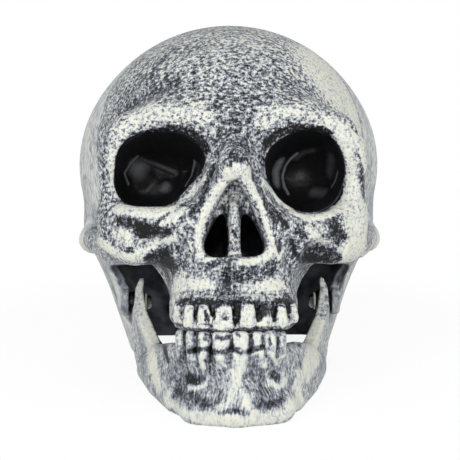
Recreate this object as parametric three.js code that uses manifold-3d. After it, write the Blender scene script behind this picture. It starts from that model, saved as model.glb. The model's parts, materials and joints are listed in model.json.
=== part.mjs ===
// A life-size plastic skull with a jaw that drops. It stands on the rim of its rear shell and the base of
// its jaw, face turned up a little. The face looks along -Y, and +Z is up.
import * as THREE from 'three';
import { mergeVertices } from 'three/addons/utils/BufferGeometryUtils.js';
import Module from 'manifold-3d';

const wasm = await Module();
wasm.setup();

// Driving dimensions, in millimetres. Width, length and height are those of the skull held level.
const craniumWidth = 150; // across the widest part, above the ears
const craniumLength = 172; // the shares of depth follow this length, brow to back
const skullHeight = 194; // chin to crown
const leanDegrees = 17; // how far the skull leans back on the table
const shellWall = 3; // wall of both head mouldings
const socketWall = 1.6; // wall of the black cups that line the eye sockets
const socketRecess = 1; // from the bone's surface back to the edge of a cup
const fitGap = 0.3; // clearance between pieces that touch
const seamForward = 22; // from the middle of the head forward to the seam, where it is deepest
const seamHeight = 45; // height on the head where the seam is deepest
const seamRadius = 83; // how tightly the seam curves back above and below that
const seamFoot = 8; // how far forward of the middle the seam comes down at the cheek
const sawKerf = 0.3; // gap between the two head mouldings along their seam
const overrun = 2; // how far a cutter passes the surface that it cuts
const standShare = 0.328; // from the table up to the middle of the head, of the height
const standHeight = standShare * skullHeight;

// Fasteners and bosses, in millimetres
const lugRadius = 4.6; // bosses that hold the two head mouldings together
const faceLugLength = 10;
const rearLugLength = 5;
const lugWebReach = 14; // the web from a boss runs into the wall
const shellScrewShank = 1.4; // radius
const shellScrewHead = 3; // radius
const shellScrewHeadHeight = 2;
const shellScrewGrip = 7; // how deep the screw goes into the face's boss
const branchThickness = 5.5; // wall of the jaw's upright branch
const condyleRadius = 5.2; // round end of the jaw, at its pivot
const condyleRelief = 1.8; // how far its inner face stands proud of the jaw's branch
const earRadius = 6.4; // lug of the rear shell that carries the pivot
const earThickness = 4;
const pivotShank = 1.6; // radius of the pivot screw
const pivotHead = 3.4; // radius
const pivotHeadHeight = 2;
const pivotGrip = 3.2; // how deep the pivot screw goes into the ear
const washerRadius = 4.2;
const washerThickness = 0.8;

// Size of the facets, in millimetres
const faceCell = 6;
const craniumCell = 9.5;
const hollowCell = 11;
const jawCell = 5.4;
const socketCell = 6;
const roundSides = 12;
const toothSides = 8;
const seamSteps = 12;
const rimSteps = 12;

// How the facets are found, as shares of the width, of a facet or of a unit slope
const mergeShare = 0.00001;
const probeShare = 0.02;
const leastSlopeShare = 0.3;

const lean = THREE.MathUtils.degToRad(leanDegrees);
const sides = { left: -1, right: 1 };

// Places on the form are shares: x of the width, y of the length and z of the height, from the middle of
// the head. A fourth number is a radius, as a share of the width.
const place = ([x, y, z]) => [x * craniumWidth, y * craniumLength, z * skullHeight];
const thick = (share) => share * craniumWidth;
const flip = (shares) => shares.map(([x, ...rest]) => [-x, ...rest]);

// Forms are functions of a point that give its distance to a surface, less than zero inside.
const far = craniumWidth * craniumWidth; // beyond any surface
const join = (a, b, soft) => {
  const h = THREE.MathUtils.clamp((1 + (b - a) / soft) / 2, 0, 1);
  return b + (a - b) * h - soft * h * (1 - h);
};
const carve = (a, b, soft) => -join(-a, b, soft);

function ball(centreShare, radiusShare) {
  const [cx, cy, cz] = place(centreShare);
  const [rx, ry, rz] = place(radiusShare);
  return (x, y, z) => {
    const [u, v, w] = [(x - cx) / rx, (y - cy) / ry, (z - cz) / rz];
    const reach = Math.hypot(u, v, w);
    const slope = Math.hypot(u / rx, v / ry, w / rz);
    return slope > 0 ? (reach * (reach - 1)) / slope : -Math.min(rx, ry, rz);
  };
}

// A limb is a chain of tapered rods with round joints.
function limb(shares) {
  const knots = shares.map(([x, y, z, r]) => [...place([x, y, z]), thick(r)]);
  return (x, y, z) => {
    let nearest = far;
    for (let i = 1; i < knots.length; i += 1) {
      const [ax, ay, az, ar] = knots[i - 1];
      const [bx, by, bz, br] = knots[i];
      const [ex, ey, ez] = [bx - ax, by - ay, bz - az];
      const along = ((x - ax) * ex + (y - ay) * ey + (z - az) * ez) / (ex * ex + ey * ey + ez * ez);
      const t = THREE.MathUtils.clamp(along, 0, 1);
      const span = Math.hypot(x - ax - ex * t, y - ay - ey * t, z - az - ez * t);
      nearest = Math.min(nearest, span - ar - (br - ar) * t);
    }
    return nearest;
  };
}

// A post stands upright, with a squarish oval plan that may widen from its foot to its top.
const postSoftShare = 0.05;
function post({ centreShare, footShare, topShare, foot, top, squareness }, grow = 0) {
  const [, cy] = place([0, centreShare, 0]);
  const [fx, fy] = place([...footShare, 0]);
  const [tx, ty] = place([...topShare, 0]);
  const [low, high] = [foot * skullHeight, top * skullHeight];
  return (x, y, z) => {
    const t = THREE.MathUtils.clamp((z - low) / (high - low), 0, 1);
    const [rx, ry] = [fx + (tx - fx) * t + grow, fy + (ty - fy) * t + grow];
    const corner = Math.abs(x / rx) ** squareness + Math.abs((y - cy) / ry) ** squareness;
    const beside = (corner ** (1 / squareness) - 1) * Math.min(rx, ry);
    return -join(-beside, -Math.max(z - high, low - z), thick(postSoftShare));
  };
}

// What lies behind and below a line in the YZ plane
function behind(topShare, footShare) {
  const [[, topY, topZ], [, footY, footZ]] = [place([0, ...topShare]), place([0, ...footShare])];
  const [run, rise] = [topY - footY, topZ - footZ];
  return (x, y, z) => ((z - footZ) * run - (y - footY) * rise) / Math.hypot(run, rise);
}

// Signed distance from a point to a closed outline, both in one plane.
function outlineDistance(points, u, v) {
  let nearest = far;
  let side = 1;
  points.forEach(([au, av], i) => {
    const [bu, bv] = points[(i + 1) % points.length];
    const [eu, ev] = [bu - au, bv - av];
    const [wu, wv] = [u - au, v - av];
    const t = THREE.MathUtils.clamp((wu * eu + wv * ev) / (eu * eu + ev * ev), 0, 1);
    nearest = Math.min(nearest, Math.hypot(wu - eu * t, wv - ev * t));
    const above = [v >= av, v < bv, eu * wv > ev * wu];
    if (above.every((test) => test) || above.every((test) => !test)) side = -side;
  });
  return side * nearest;
}

// A sculpture is a list of steps: each joins a form to what is there or carves it away, softly.
const sculpt = (steps) => (x, y, z) =>
  steps.reduce((distance, [how, softShare, form]) => how(distance, form(x, y, z), thick(softShare)), far);
const swell = ([softShare, centreShare, radiusShare]) => [join, softShare, ball(centreShare, radiusShare)];
const dent = ([softShare, centreShare, radiusShare]) => [carve, softShare, ball(centreShare, radiusShare)];
const ridge = ([softShare, knotShares]) => [join, softShare, limb(knotShares)];
const stand = (shares, grow) => [join, shares.soft, post(shares, grow)];
const mirrored = ([softShare, knotShares]) => [softShare, flip(knotShares)];

// The head. The vault, forehead and mid-face are balls, and the rear is a bowl that stands on the table.
// Each ball has its softness, its middle and its radii.
const vaultShares = [0.05, [0, 0.122, 0.186], [0.5, 0.465, 0.345]];
const foreheadShares = [0.09, [0, -0.058, 0.242], [0.38, 0.349, 0.258]];
const midFaceShares = [0.08, [0, -0.174, 0.041], [0.333, 0.227, 0.237]];
const templeShares = [
  [0.067, [-0.547, -0.233, 0.129], [0.16, 0.128, 0.124]],
  [0.067, [0.547, -0.233, 0.129], [0.16, 0.128, 0.124]],
];
const bowlShares = {
  soft: 0.07, centreShare: 0.26, footShare: [0.31, 0.26], topShare: [0.475, 0.31], foot: -0.34, top: 0.03,
  squareness: 2.8,
};
// The nape slopes forward under the back of the head, down to the rim: a line seen from the side
const napeShares = { soft: 0.08, top: [0.57, 0.03], foot: [0.359, -0.25] };
const headCore = () => [
  swell(vaultShares),
  swell(foreheadShares),
  stand(bowlShares),
  [carve, napeShares.soft, behind(napeShares.top, napeShares.foot)],
  swell(midFaceShares),
  ...templeShares.map(dent),
];

// The upper jaw is a post, hollow and open below.
const upperJawShares = {
  soft: 0.053, centreShare: -0.28, footShare: [0.187, 0.192], topShare: [0.2, 0.15], foot: -0.242, top: -0.01,
  squareness: 2.4,
};
const upperJawHollowShares = { ...upperJawShares, soft: 0.047, foot: -0.31, top: -0.09 };

// Ridges of the right half of the face, each mirrored: softness, then the limb's knots
const faceRidgeShares = {
  cheek: [0.053, [[0.2, -0.36, -0.052, 0.053], [0.293, -0.32, -0.052, 0.06], [0.367, -0.233, -0.046, 0.05],
    [0.413, -0.14, -0.031, 0.04], [0.44, -0.035, -0.015, 0.037], [0.45, 0.017, -0.013, 0.043]]],
  outerRim: [0.053, [[0.333, -0.325, 0.196, 0.037], [0.367, -0.291, 0.134, 0.037],
    [0.367, -0.267, 0.052, 0.04], [0.353, -0.291, -0.021, 0.047]]],
  brow: [0.08, [[0.027, -0.378, 0.216, 0.043], [0.12, -0.381, 0.239, 0.04], [0.213, -0.369, 0.247, 0.04],
    [0.307, -0.336, 0.224, 0.04], [0.347, -0.308, 0.175, 0.04]]],
  innerRim: [0.04, [[0.033, -0.392, 0.186, 0.04], [0.047, -0.413, 0.103, 0.037], [0.08, -0.407, 0.031, 0.037],
    [0.12, -0.395, -0.021, 0.04]]],
  noseRim: [0.033, [[0, -0.475, 0.113, 0.03], [0.067, -0.44, 0.041, 0.028], [0.113, -0.416, -0.026, 0.03],
    [0.11, -0.424, -0.077, 0.028], [0.047, -0.442, -0.093, 0.027], [0, -0.453, -0.093, 0.027]]],
};
const middleRidgeShares = {
  leftLowerRim: [0.047, [[-0.12, -0.401, 0, 0.04], [-0.2, -0.39, 0, 0.04],
    [-0.293, -0.349, 0.005, 0.043], [-0.353, -0.291, 0.015, 0.047]]],
  rightLowerRim: [0.047, [[0.12, -0.401, -0.015, 0.04], [0.2, -0.39, -0.021, 0.04],
    [0.293, -0.349, -0.01, 0.043], [0.353, -0.291, 0.015, 0.047]]],
  noseBridge: [0.047, [[0, -0.384, 0.196, 0.047], [0, -0.43, 0.155, 0.04], [0, -0.477, 0.124, 0.033]]],
};
const faceHollowShares = [
  [0.027, [-0.253, -0.413, -0.057], [0.067, 0.041, 0.021]],
  [0.027, [0.28, -0.39, -0.082], [0.073, 0.041, 0.041]],
  [0.027, [-0.16, -0.465, -0.088], [0.047, 0.029, 0.046]],
  [0.027, [0.16, -0.465, -0.088], [0.047, 0.029, 0.046]],
];
const headForm = () => sculpt([
  ...headCore(),
  stand(upperJawShares),
  ...Object.values(faceRidgeShares).flatMap((shares) => [ridge(shares), ridge(mirrored(shares))]),
  ...Object.values(middleRidgeShares).map(ridge),
  ...faceHollowShares.map(dent),
]);

// Eye sockets: front outlines as shares of width and height, drawn in towards the back
const socketShares = {
  left_socket_cup: [[-0.353, 0.144], [-0.33, 0.18], [-0.273, 0.204], [-0.167, 0.204], [-0.1, 0.17],
    [-0.083, 0.139], [-0.113, 0.098], [-0.193, 0.039], [-0.307, 0.041], [-0.353, 0.077]],
  right_socket_cup: [[0.093, 0.139], [0.127, 0.18], [0.207, 0.211], [0.28, 0.204], [0.327, 0.165],
    [0.34, 0.113], [0.307, 0.052], [0.227, 0.021], [0.147, 0.041], [0.103, 0.088]],
};
const socketDraftShare = 0.06; // how much the socket narrows at its rim, of each step back
const socketRoundShare = 0.83; // how much faster it narrows further back, in widths
const socketLeanShare = 0.1; // how far the socket turns inwards, of each step back
const socketBackShare = -0.15; // the floor of the socket, of the length
const socketFrontShare = -0.53; // clear of the brow in front
const rimFrontShare = -0.39; // where the rims stand at the nose, of the length
const rimSweepShare = 0.93; // how fast the rims sweep back to the sides, in widths
const socketCornerShare = 0.04;
const socketSoftShare = 0.067;

// How far back the rims stand: they sweep back from the nose to the sides of the face.
const rimAt = (x) => rimFrontShare * craniumLength + (rimSweepShare * x * x) / craniumWidth;

function socketForm(shares, grow) {
  const corner = thick(socketCornerShare);
  const points = shares.map(([x, z]) => [x * craniumWidth, z * skullHeight]);
  const middle = points.reduce(([u, v], [x, z]) => [u + x / points.length, v + z / points.length], [0, 0]);
  const core = points.map(([x, z]) => {
    const reach = Math.hypot(x - middle[0], z - middle[1]);
    const keep = (reach - corner) / reach;
    return [middle[0] + (x - middle[0]) * keep, middle[1] + (z - middle[1]) * keep];
  });
  return (x, y, z) => {
    const depth = Math.max(y - rimAt(x), 0);
    const turned = x + Math.sign(middle[0]) * socketLeanShare * depth;
    const drawn = socketDraftShare * depth + (socketRoundShare * depth * depth) / craniumWidth;
    const side = outlineDistance(core, turned, z) - corner + drawn;
    const closed = -join(-side, socketBackShare * craniumLength - y, thick(socketSoftShare)) - grow;
    return Math.max(closed, socketFrontShare * craniumLength - y);
  };
}

// The nose: a shallow pear-shaped pocket, and two nostrils that go right through
const pearShares = [[0, 0.082], [0.047, 0.041], [0.08, -0.005], [0.097, -0.046], [0.08, -0.077], [0, -0.082],
  [-0.08, -0.077], [-0.097, -0.046], [-0.08, -0.005], [-0.047, 0.041]];
const pearFloorShare = -0.4; // the pocket's floor, of the length
const nostrilShares = [
  [[-0.04, 0.023], [-0.019, 0.015], [-0.019, -0.064], [-0.047, -0.075], [-0.087, -0.067], [-0.093, -0.041],
    [-0.067, 0]],
  [[0.019, 0.015], [0.04, 0.026], [0.067, 0], [0.093, -0.041], [0.087, -0.067], [0.047, -0.075],
    [0.019, -0.064]],
];
const nostrilDepthShare = -0.3;

const inPlane = (shares, [across, up]) => shares.map(([u, v]) => [u * across, v * up]);

// A hole through the face, from in front back to a given depth
function faceHole(shares, depthShare) {
  const points = inPlane(shares, [craniumWidth, skullHeight]).map(([x, z]) => new THREE.Vector2(x, z));
  const depth = craniumLength;
  const geometry = new THREE.ExtrudeGeometry(new THREE.Shape(points), { depth, bevelEnabled: false });
  geometry.rotateX(Math.PI / 2).translate(0, depthShare * craniumLength, 0);
  return solid(geometry);
}

// Teeth: middle across, width, middle height, height. Across are shares of the width, heights of the height.
const upperTeethShares = [
  [-0.163, 0.031, -0.213, 0.048], [-0.131, 0.04, -0.219, 0.056], [-0.089, 0.043, -0.22, 0.059],
  [-0.035, 0.061, -0.219, 0.071], [0.034, 0.049, -0.215, 0.067], [0.082, 0.044, -0.22, 0.059],
  [0.129, 0.045, -0.22, 0.059], [0.168, 0.033, -0.213, 0.048],
];
const lowerTeethShares = [
  [-0.156, 0.032, -0.282, 0.058], [-0.128, 0.027, -0.285, 0.058], [-0.091, 0.043, -0.287, 0.058],
  [-0.041, 0.053, -0.289, 0.06], [0.012, 0.051, -0.289, 0.06], [0.061, 0.045, -0.287, 0.058],
  [0.1, 0.033, -0.284, 0.058], [0.132, 0.029, -0.283, 0.058],
];
const upperArchShares = { centre: -0.273, across: 0.193, along: 0.203, squareness: 2.4 };
const lowerArchShares = { centre: -0.267, across: 0.187, along: 0.198, squareness: 2.4 };
const toothShares = { depth: 0.053, squareness: 4 };

// The jaw: three chains from the chin back to the jaw's angle, and the upright branch's outline from the side
const jawChainShares = [
  [[0, -0.424, -0.423, 0.05], [0.093, -0.407, -0.423, 0.05], [0.167, -0.331, -0.407, 0.043],
    [0.227, -0.203, -0.376, 0.037], [0.267, -0.07, -0.34, 0.035]],
  [[0, -0.43, -0.361, 0.04], [0.093, -0.413, -0.361, 0.04], [0.167, -0.337, -0.356, 0.04],
    [0.227, -0.233, -0.34, 0.037], [0.26, -0.116, -0.32, 0.033]],
  [[0, -0.442, -0.309, 0.04], [0.08, -0.43, -0.309, 0.04], [0.14, -0.378, -0.309, 0.037],
    [0.18, -0.302, -0.304, 0.037], [0.22, -0.221, -0.304, 0.033]],
];
const jawSoftShare = 0.04;
const chinShares = [
  [0.04, [0.007, -0.453, -0.412], [0.08, 0.035, 0.046]],
  [0.04, [0.12, -0.413, -0.423], [0.053, 0.041, 0.036]],
  [0.04, [-0.107, -0.413, -0.423], [0.053, 0.041, 0.036]],
];
const chinHollowShares = [
  [0.027, [-0.12, -0.465, -0.361], [0.04, 0.029, 0.023]],
  [0.027, [0.12, -0.465, -0.357], [0.033, 0.029, 0.021]],
];
const jawHollowShares = {
  centreShare: 0, footShare: [0.22, 0.419], topShare: [0.167, 0.395], foot: -0.6, top: -0.258,
  squareness: 2.4,
};
const branchOutlineShares = [
  [-0.131, -0.085], [-0.14, -0.155], [-0.16, -0.21], [-0.192, -0.268], [-0.256, -0.309],
  [-0.256, -0.39], [-0.116, -0.385], [-0.035, -0.365], [0.006, -0.314], [0.029, -0.258],
  [0.047, -0.206], [0.05, -0.17], [0.023, -0.145], [0, -0.175], [-0.035, -0.198],
  [-0.081, -0.17], [-0.116, -0.118],
];
const branchOutShare = 0.31; // from the middle out to the branch, of the width
const branchBackShare = 0.047; // that back edge, of the length
const branchFlareShares = [0, 0.41]; // how fast its front turns inwards, at its top and at its foot
const branchTopShare = -0.144;
const branchFootShare = -0.32;
const pivotShares = [0.029, -0.17]; // the pivot's place, of the length and of the height
const branchOut = branchOutShare * craniumWidth;

// The upright branch of the jaw is a plate whose front edge turns in towards the teeth.
function branch(side) {
  const outline = inPlane(branchOutlineShares, [craniumLength, skullHeight]);
  const shape = new THREE.Shape(outline.map(([y, z]) => new THREE.Vector2(y, z)));
  const geometry = new THREE.ExtrudeGeometry(shape, { depth: branchThickness, bevelEnabled: false });
  const [topFlare, footFlare] = branchFlareShares;
  const points = geometry.attributes.position;
  for (let i = 0; i < points.count; i += 1) {
    const [y, z, across] = [points.getX(i), points.getY(i), points.getZ(i)];
    const fall = (branchTopShare - z / skullHeight) / (branchTopShare - branchFootShare);
    const flare = topFlare + (footFlare - topFlare) * THREE.MathUtils.clamp(fall, 0, 1);
    const inwards = flare * craniumWidth * (branchBackShare - y / craniumLength);
    points.setXYZ(i, branchOut - branchThickness / 2 - inwards + across, y, z);
  }
  return side > 0 ? solid(geometry) : solid(geometry).mirror([1, 0, 0]);
}

const jawForm = () => sculpt([
  ...jawChainShares.flatMap((shares) => [ridge([jawSoftShare, shares]), ridge([jawSoftShare, flip(shares)])]),
  ...chinShares.map(swell),
  ...chinHollowShares.map(dent),
]);

// Lines of a grid across a size, from one share of it to another, with finer steps between two more
function ladder(size, [from, to], coarse, [fineFrom, fineTo] = [to, to], fine = coarse) {
  const lines = [from * size];
  while (lines.at(-1) < to * size) {
    const last = lines.at(-1);
    lines.push(last + (last >= fineFrom * size && last < fineTo * size ? fine : coarse));
  }
  return lines;
}

// How far each grid runs across, along and up, as shares of the width, the length and the height
const gridShares = {
  face: [[-0.55, 0.53], [-0.56, 0.1], [-0.42, 0.58]],
  faceFine: [[-0.4, 0.4], [-0.56, -0.2], [-0.42, 0.28]],
  rear: [[-0.55, 0.55], [-0.2, 0.64], [-0.42, 0.58]],
  hollow: [[-0.55, 0.53], [-0.52, 0.62], [-0.42, 0.56]],
  jaw: [[-0.37, 0.37], [-0.54, 0.1], [-0.5, -0.1]],
  jawHollow: [[-0.3, 0.3], [-0.5, 0.5], [-0.7, -0.2]],
};
const grid = (shares, cell, fineShares = [], fineCell = cell) =>
  [craniumWidth, craniumLength, skullHeight].map((size, axis) =>
    ladder(size, shares[axis], cell, fineShares[axis], fineCell));

// The twelve edges of a grid cell: the axis that each runs along, and the cell corner that it starts from
const cellEdges = [0, 1, 2].flatMap((axis) => [0, 1].flatMap((p) => [0, 1].map((q) => {
  const from = [0, 0, 0];
  from[(axis + 1) % 3] = p;
  from[(axis + 2) % 3] = q;
  return { axis, from, to: from.map((n, a) => n + (a === axis ? 1 : 0)) };
})));
const edgeNumber = (axis, p, q) => axis * 4 + p * 2 + q;
const cellFaces = [0, 1, 2].flatMap((axis) => [0, 1].map((level) => cellEdges
  .map((edge, number) => ({ ...edge, number }))
  .filter((edge) => edge.axis !== axis && edge.from[axis] === level)));
const same = (a, b) => a.every((n, i) => n === b[i]);

// Sheets of surface in one cell: the edges that each one cuts. Where a face is cut four times, the two
// cuts beside each inside corner belong together, so that both cells at that face agree.
function sheetsOf(isInside) {
  const cut = cellEdges.map((edge) => isInside(edge.from) !== isInside(edge.to));
  const sheet = cellEdges.map((_, number) => number);
  const unite = (m, n) => {
    const [keep, drop] = [sheet[m], sheet[n]];
    sheet.forEach((label, i) => {
      if (label === drop) sheet[i] = keep;
    });
  };
  cellFaces.forEach((edges) => {
    const cuts = edges.filter((edge) => cut[edge.number]);
    cuts.forEach((one) => cuts.filter((other) => other.number > one.number).forEach((other) => {
      const shared = [one.from, one.to].find((corner) => same(corner, other.from) || same(corner, other.to));
      if (cuts.length === 2 || (shared && isInside(shared))) unite(one.number, other.number);
    }));
  });
  return [...new Set(sheet.filter((_, number) => cut[number]))]
    .map((label) => [...sheet.keys()].filter((number) => cut[number] && sheet[number] === label));
}

// The skin of a form: one corner for each sheet in a grid cell, one quad round each grid edge that is cut
function skin(form, axes) {
  const sizes = axes.map((lines) => lines.length);
  const index = (i, j, k) => (i * sizes[1] + j) * sizes[2] + k;
  const depth = new Float64Array(sizes[0] * sizes[1] * sizes[2]);
  axes[0].forEach((x, i) => axes[1].forEach((y, j) => axes[2].forEach((z, k) => {
    depth[index(i, j, k)] = form(x, y, z);
  })));
  const corners = [];
  const cornerOf = new Map();
  for (let i = 0; i + 1 < sizes[0]; i += 1) {
    for (let j = 0; j + 1 < sizes[1]; j += 1) {
      for (let k = 0; k + 1 < sizes[2]; k += 1) {
        const depthAt = ([a, b, c]) => depth[index(i + a, j + b, k + c)];
        sheetsOf((corner) => depthAt(corner) < 0).forEach((sheet) => {
          sheet.forEach((number) => cornerOf.set(index(i, j, k) * cellEdges.length + number, corners.length));
          corners.push(sheetCorner([i, j, k], axes, sheet, depthAt, form));
        });
      }
    }
  }
  const triangles = [];
  const around = [[0, 0], [1, 0], [1, 1], [0, 1]];
  for (let axis = 0; axis < 3; axis += 1) {
    const [u, v] = [(axis + 1) % 3, (axis + 2) % 3];
    const start = [0, 0, 0];
    start[u] = 1;
    start[v] = 1;
    for (let i = start[0]; i + 1 < sizes[0]; i += 1) {
      for (let j = start[1]; j + 1 < sizes[1]; j += 1) {
        for (let k = start[2]; k + 1 < sizes[2]; k += 1) {
          const here = [i, j, k];
          const next = here.map((n, a) => n + (a === axis ? 1 : 0));
          const [inHere, inNext] = [depth[index(...here)] < 0, depth[index(...next)] < 0];
          if (inHere !== inNext) {
            const ring = around.map(([du, dv]) => {
              const cell = [...here];
              cell[u] -= du;
              cell[v] -= dv;
              return cornerOf.get(index(...cell) * cellEdges.length + edgeNumber(axis, du, dv));
            });
            triangles.push(...splitQuad(inHere ? ring : ring.reverse(), corners));
          }
        }
      }
    }
  }
  return solidOf(corners.flat(), triangles);
}

// The mean of a sheet's cuts, drawn onto the form
function sheetCorner(cell, axes, sheet, depthAt, form) {
  const low = cell.map((n, a) => axes[a][n]);
  const span = cell.map((n, a) => axes[a][n + 1] - axes[a][n]);
  const cuts = sheet.map((number) => {
    const { from, to } = cellEdges[number];
    const t = depthAt(from) / (depthAt(from) - depthAt(to));
    return low.map((n, a) => n + span[a] * (from[a] + (to[a] - from[a]) * t));
  });
  let point = low.map((_, a) => cuts.reduce((sum, cut) => sum + cut[a], 0) / cuts.length);
  const probe = Math.min(...span) * probeShare;
  for (let pass = 0; pass < 2; pass += 1) {
    const slope = point.map((_, a) => {
      const shift = point.map((n, b) => n + (a === b ? probe : 0));
      return (form(...shift) - form(...point)) / probe;
    });
    const steepness = slope.reduce((sum, n) => sum + n * n, 0);
    const move = form(...point) / Math.max(steepness, leastSlopeShare);
    point = point.map((n, a) => THREE.MathUtils.clamp(n - move * slope[a], low[a], low[a] + span[a]));
  }
  return point;
}

// Two triangles that share the quad's shorter diagonal
function splitQuad([a, b, c, d], corners) {
  const span = (p, q) => Math.hypot(...corners[p].map((n, axis) => n - corners[q][axis]));
  return span(a, c) < span(b, d) ? [a, b, c, a, c, d] : [a, b, d, b, c, d];
}

// Closed meshes to solids, and back
function solidOf(positions, triangles) {
  const mesh = new wasm.Mesh({
    numProp: 3,
    vertProperties: new Float32Array(positions),
    triVerts: new Uint32Array(triangles),
  });
  return new wasm.Manifold(mesh);
}

function solid(geometry, matrix = new THREE.Matrix4()) {
  const bare = geometry.clone().applyMatrix4(matrix);
  bare.deleteAttribute('normal');
  bare.deleteAttribute('uv');
  const merged = mergeVertices(bare, mergeShare * craniumWidth);
  return solidOf(merged.attributes.position.array, merged.index.array);
}

function geometryOf(body) {
  const mesh = body.getMesh();
  const geometry = new THREE.BufferGeometry();
  geometry.setAttribute('position', new THREE.BufferAttribute(mesh.vertProperties, 3));
  geometry.setIndex(new THREE.BufferAttribute(mesh.triVerts, 1));
  return geometry;
}

const addAll = (first, rest) => rest.reduce((body, piece) => body.add(piece), first);
const cutAll = (first, rest) => rest.reduce((body, piece) => body.subtract(piece), first);

// An outline in the YZ plane, pushed along X through the whole head
function sidePlate(points) {
  const reach = craniumWidth + overrun;
  const shape = new THREE.Shape(points.map(([y, z]) => new THREE.Vector2(y, z)));
  const geometry = new THREE.ExtrudeGeometry(shape, { depth: 2 * reach, bevelEnabled: false });
  const turn = new THREE.Matrix4().makeBasis(
    new THREE.Vector3(0, 1, 0), new THREE.Vector3(0, 0, 1), new THREE.Vector3(1, 0, 0),
  );
  return solid(geometry, new THREE.Matrix4().makeTranslation(-reach, 0, 0).multiply(turn));
}

// A round bar of a given length, from a face towards +X or along +Y
function bar(radius, from, length, alongY) {
  const geometry = new THREE.CylinderGeometry(radius, radius, length, roundSides);
  geometry.translate(0, length / 2, 0);
  if (!alongY) geometry.rotateZ(Math.sign(from[0]) * -Math.PI / 2);
  return solid(geometry, new THREE.Matrix4().makeTranslation(...from));
}

// Everything under the table top, which leans in the head's own frame
function belowTable() {
  const reach = craniumLength * 2;
  const geometry = new THREE.BoxGeometry(reach, reach, reach);
  geometry.translate(0, 0, -reach / 2 - standHeight);
  geometry.rotateX(lean);
  return solid(geometry);
}

// The seam runs over the crown and bows forward at the temples.
const seamLine = (z) => {
  const back = (z - seamHeight) ** 2 / (2 * seamRadius);
  return -seamForward + (z < seamHeight ? Math.min(back, seamForward - seamFoot) : back);
};
const seamEndShares = [-0.5, 0.75]; // of the height
function beyondSeam(side) {
  const reach = craniumLength;
  const [low, high] = seamEndShares.map((share) => share * skullHeight);
  const heights = Array.from({ length: seamSteps + 1 }, (_, i) => low + ((high - low) * i) / seamSteps);
  const edge = heights.map((z) => [seamLine(z) + (side * sawKerf) / 2, z]);
  return sidePlate([...edge, [side * reach, heights.at(-1)], [side * reach, heights[0]]]);
}

// The bosses where the two head mouldings are screwed together
const lugShares = [[-0.2, 0.45], [0.2, 0.45], [-0.36, 0.155], [0.36, 0.155]];
const lugPlaces = lugShares.map(([x, z]) => [x * craniumWidth, seamLine(z * skullHeight), z * skullHeight]);

function lug([x, y, z]) {
  const length = faceLugLength + rearLugLength;
  const boss = bar(lugRadius, [x, y - faceLugLength, z], length, true);
  const web = new THREE.BoxGeometry(lugRadius, length, lugWebReach);
  web.translate(0, rearLugLength - length / 2, lugWebReach / 2);
  web.rotateY(Math.atan2(x, z));
  return boss.add(solid(web, new THREE.Matrix4().makeTranslation(x, y, z)));
}

function lugBore([x, y, z]) {
  const length = shellScrewGrip + rearLugLength + overrun;
  return bar(shellScrewShank + fitGap, [x, y - shellScrewGrip, z], length, true);
}

// The underside behind the teeth is open, from the cheekbones back to the skirts of the rear shell.
const baseOpeningShares = [[-0.256, -0.077], [0.07, -0.077], [0.08, -0.16], [0.12, -0.31], [0.12, -0.6],
  [-0.256, -0.6]];

function headHollow() {
  const inner = sculpt([...headCore(), stand(upperJawHollowShares, -fitGap)]);
  return skin((x, y, z) => inner(x, y, z) + shellWall, grid(gridShares.hollow, hollowCell));
}

// The pivot ears reach forward from the skirts of the rear shell, just outside the jaw.
const pivot = [pivotShares[0] * craniumLength, pivotShares[1] * skullHeight];
const condyleFace = branchOut + branchThickness / 2;
const earFace = condyleFace + fitGap;
const earRootShare = 0.12;

function ear(side) {
  const disc = bar(earRadius, [side * earFace, ...pivot], earThickness, false);
  const reach = earRootShare * craniumLength;
  const root = new THREE.BoxGeometry(earThickness, reach, earRadius * 2);
  root.translate(side * (earFace + earThickness / 2), pivot[0] + reach / 2, pivot[1]);
  return disc.add(solid(root));
}

function earBore(side) {
  return bar(pivotShank + fitGap, [side * (earFace - overrun), ...pivot], pivotGrip + overrun, false);
}

function tooth([x, width, z, height], { centre, across, along, squareness }) {
  const [middle, wide] = [x * craniumWidth, width * craniumWidth];
  const swing = (1 - Math.abs(x / across) ** squareness) ** (1 / squareness);
  const front = (centre - along * swing) * craniumLength;
  const geometry = new THREE.SphereGeometry(1, toothSides, toothSides);
  const square = new THREE.Vector3();
  const points = geometry.attributes.position;
  for (let i = 0; i < points.count; i += 1) {
    square.fromBufferAttribute(points, i);
    const reach = square.toArray().reduce((sum, n) => sum + Math.abs(n) ** toothShares.squareness, 0);
    square.divideScalar(reach ** (1 / toothShares.squareness));
    points.setXYZ(i, square.x, square.y, square.z);
  }
  geometry.scale(wide / 2, (toothShares.depth * craniumWidth) / 2, (height * skullHeight) / 2);
  return solid(geometry, new THREE.Matrix4().makeTranslation(middle, front, z * skullHeight));
}

// Both head mouldings come from one form, each with facets of its own size.
function headMoulding(axes, seamSide) {
  const form = headForm();
  const [nearest, furthest] = [axes[1][1], axes[1].at(-2)];
  const kept = (x, y, z) => Math.max(form(x, y, z), seamSide < 0 ? y - furthest : nearest - y);
  const outside = skin(kept, axes).intersect(beyondSeam(seamSide));
  const lugs = lugPlaces.map((at) => lug(at).intersect(outside));
  const baseOpening = sidePlate(inPlane(baseOpeningShares, [craniumLength, skullHeight]));
  const bores = lugPlaces.map(lugBore);
  return cutAll(addAll(outside.subtract(headHollow()), lugs), [...bores, baseOpening, belowTable()]);
}

function faceShell() {
  const moulding = headMoulding(grid(gridShares.face, craniumCell, gridShares.faceFine, faceCell), -1);
  const sockets = Object.values(socketShares).map((shares) =>
    socketSkin(socketForm(shares, socketWall + fitGap), shares));
  const nostrils = nostrilShares.map((shares) => faceHole(shares, nostrilDepthShare));
  const teeth = upperTeethShares.map((share) => tooth(share, upperArchShares));
  return addAll(cutAll(moulding, [...sockets, faceHole(pearShares, pearFloorShare), ...nostrils]), teeth);
}

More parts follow.
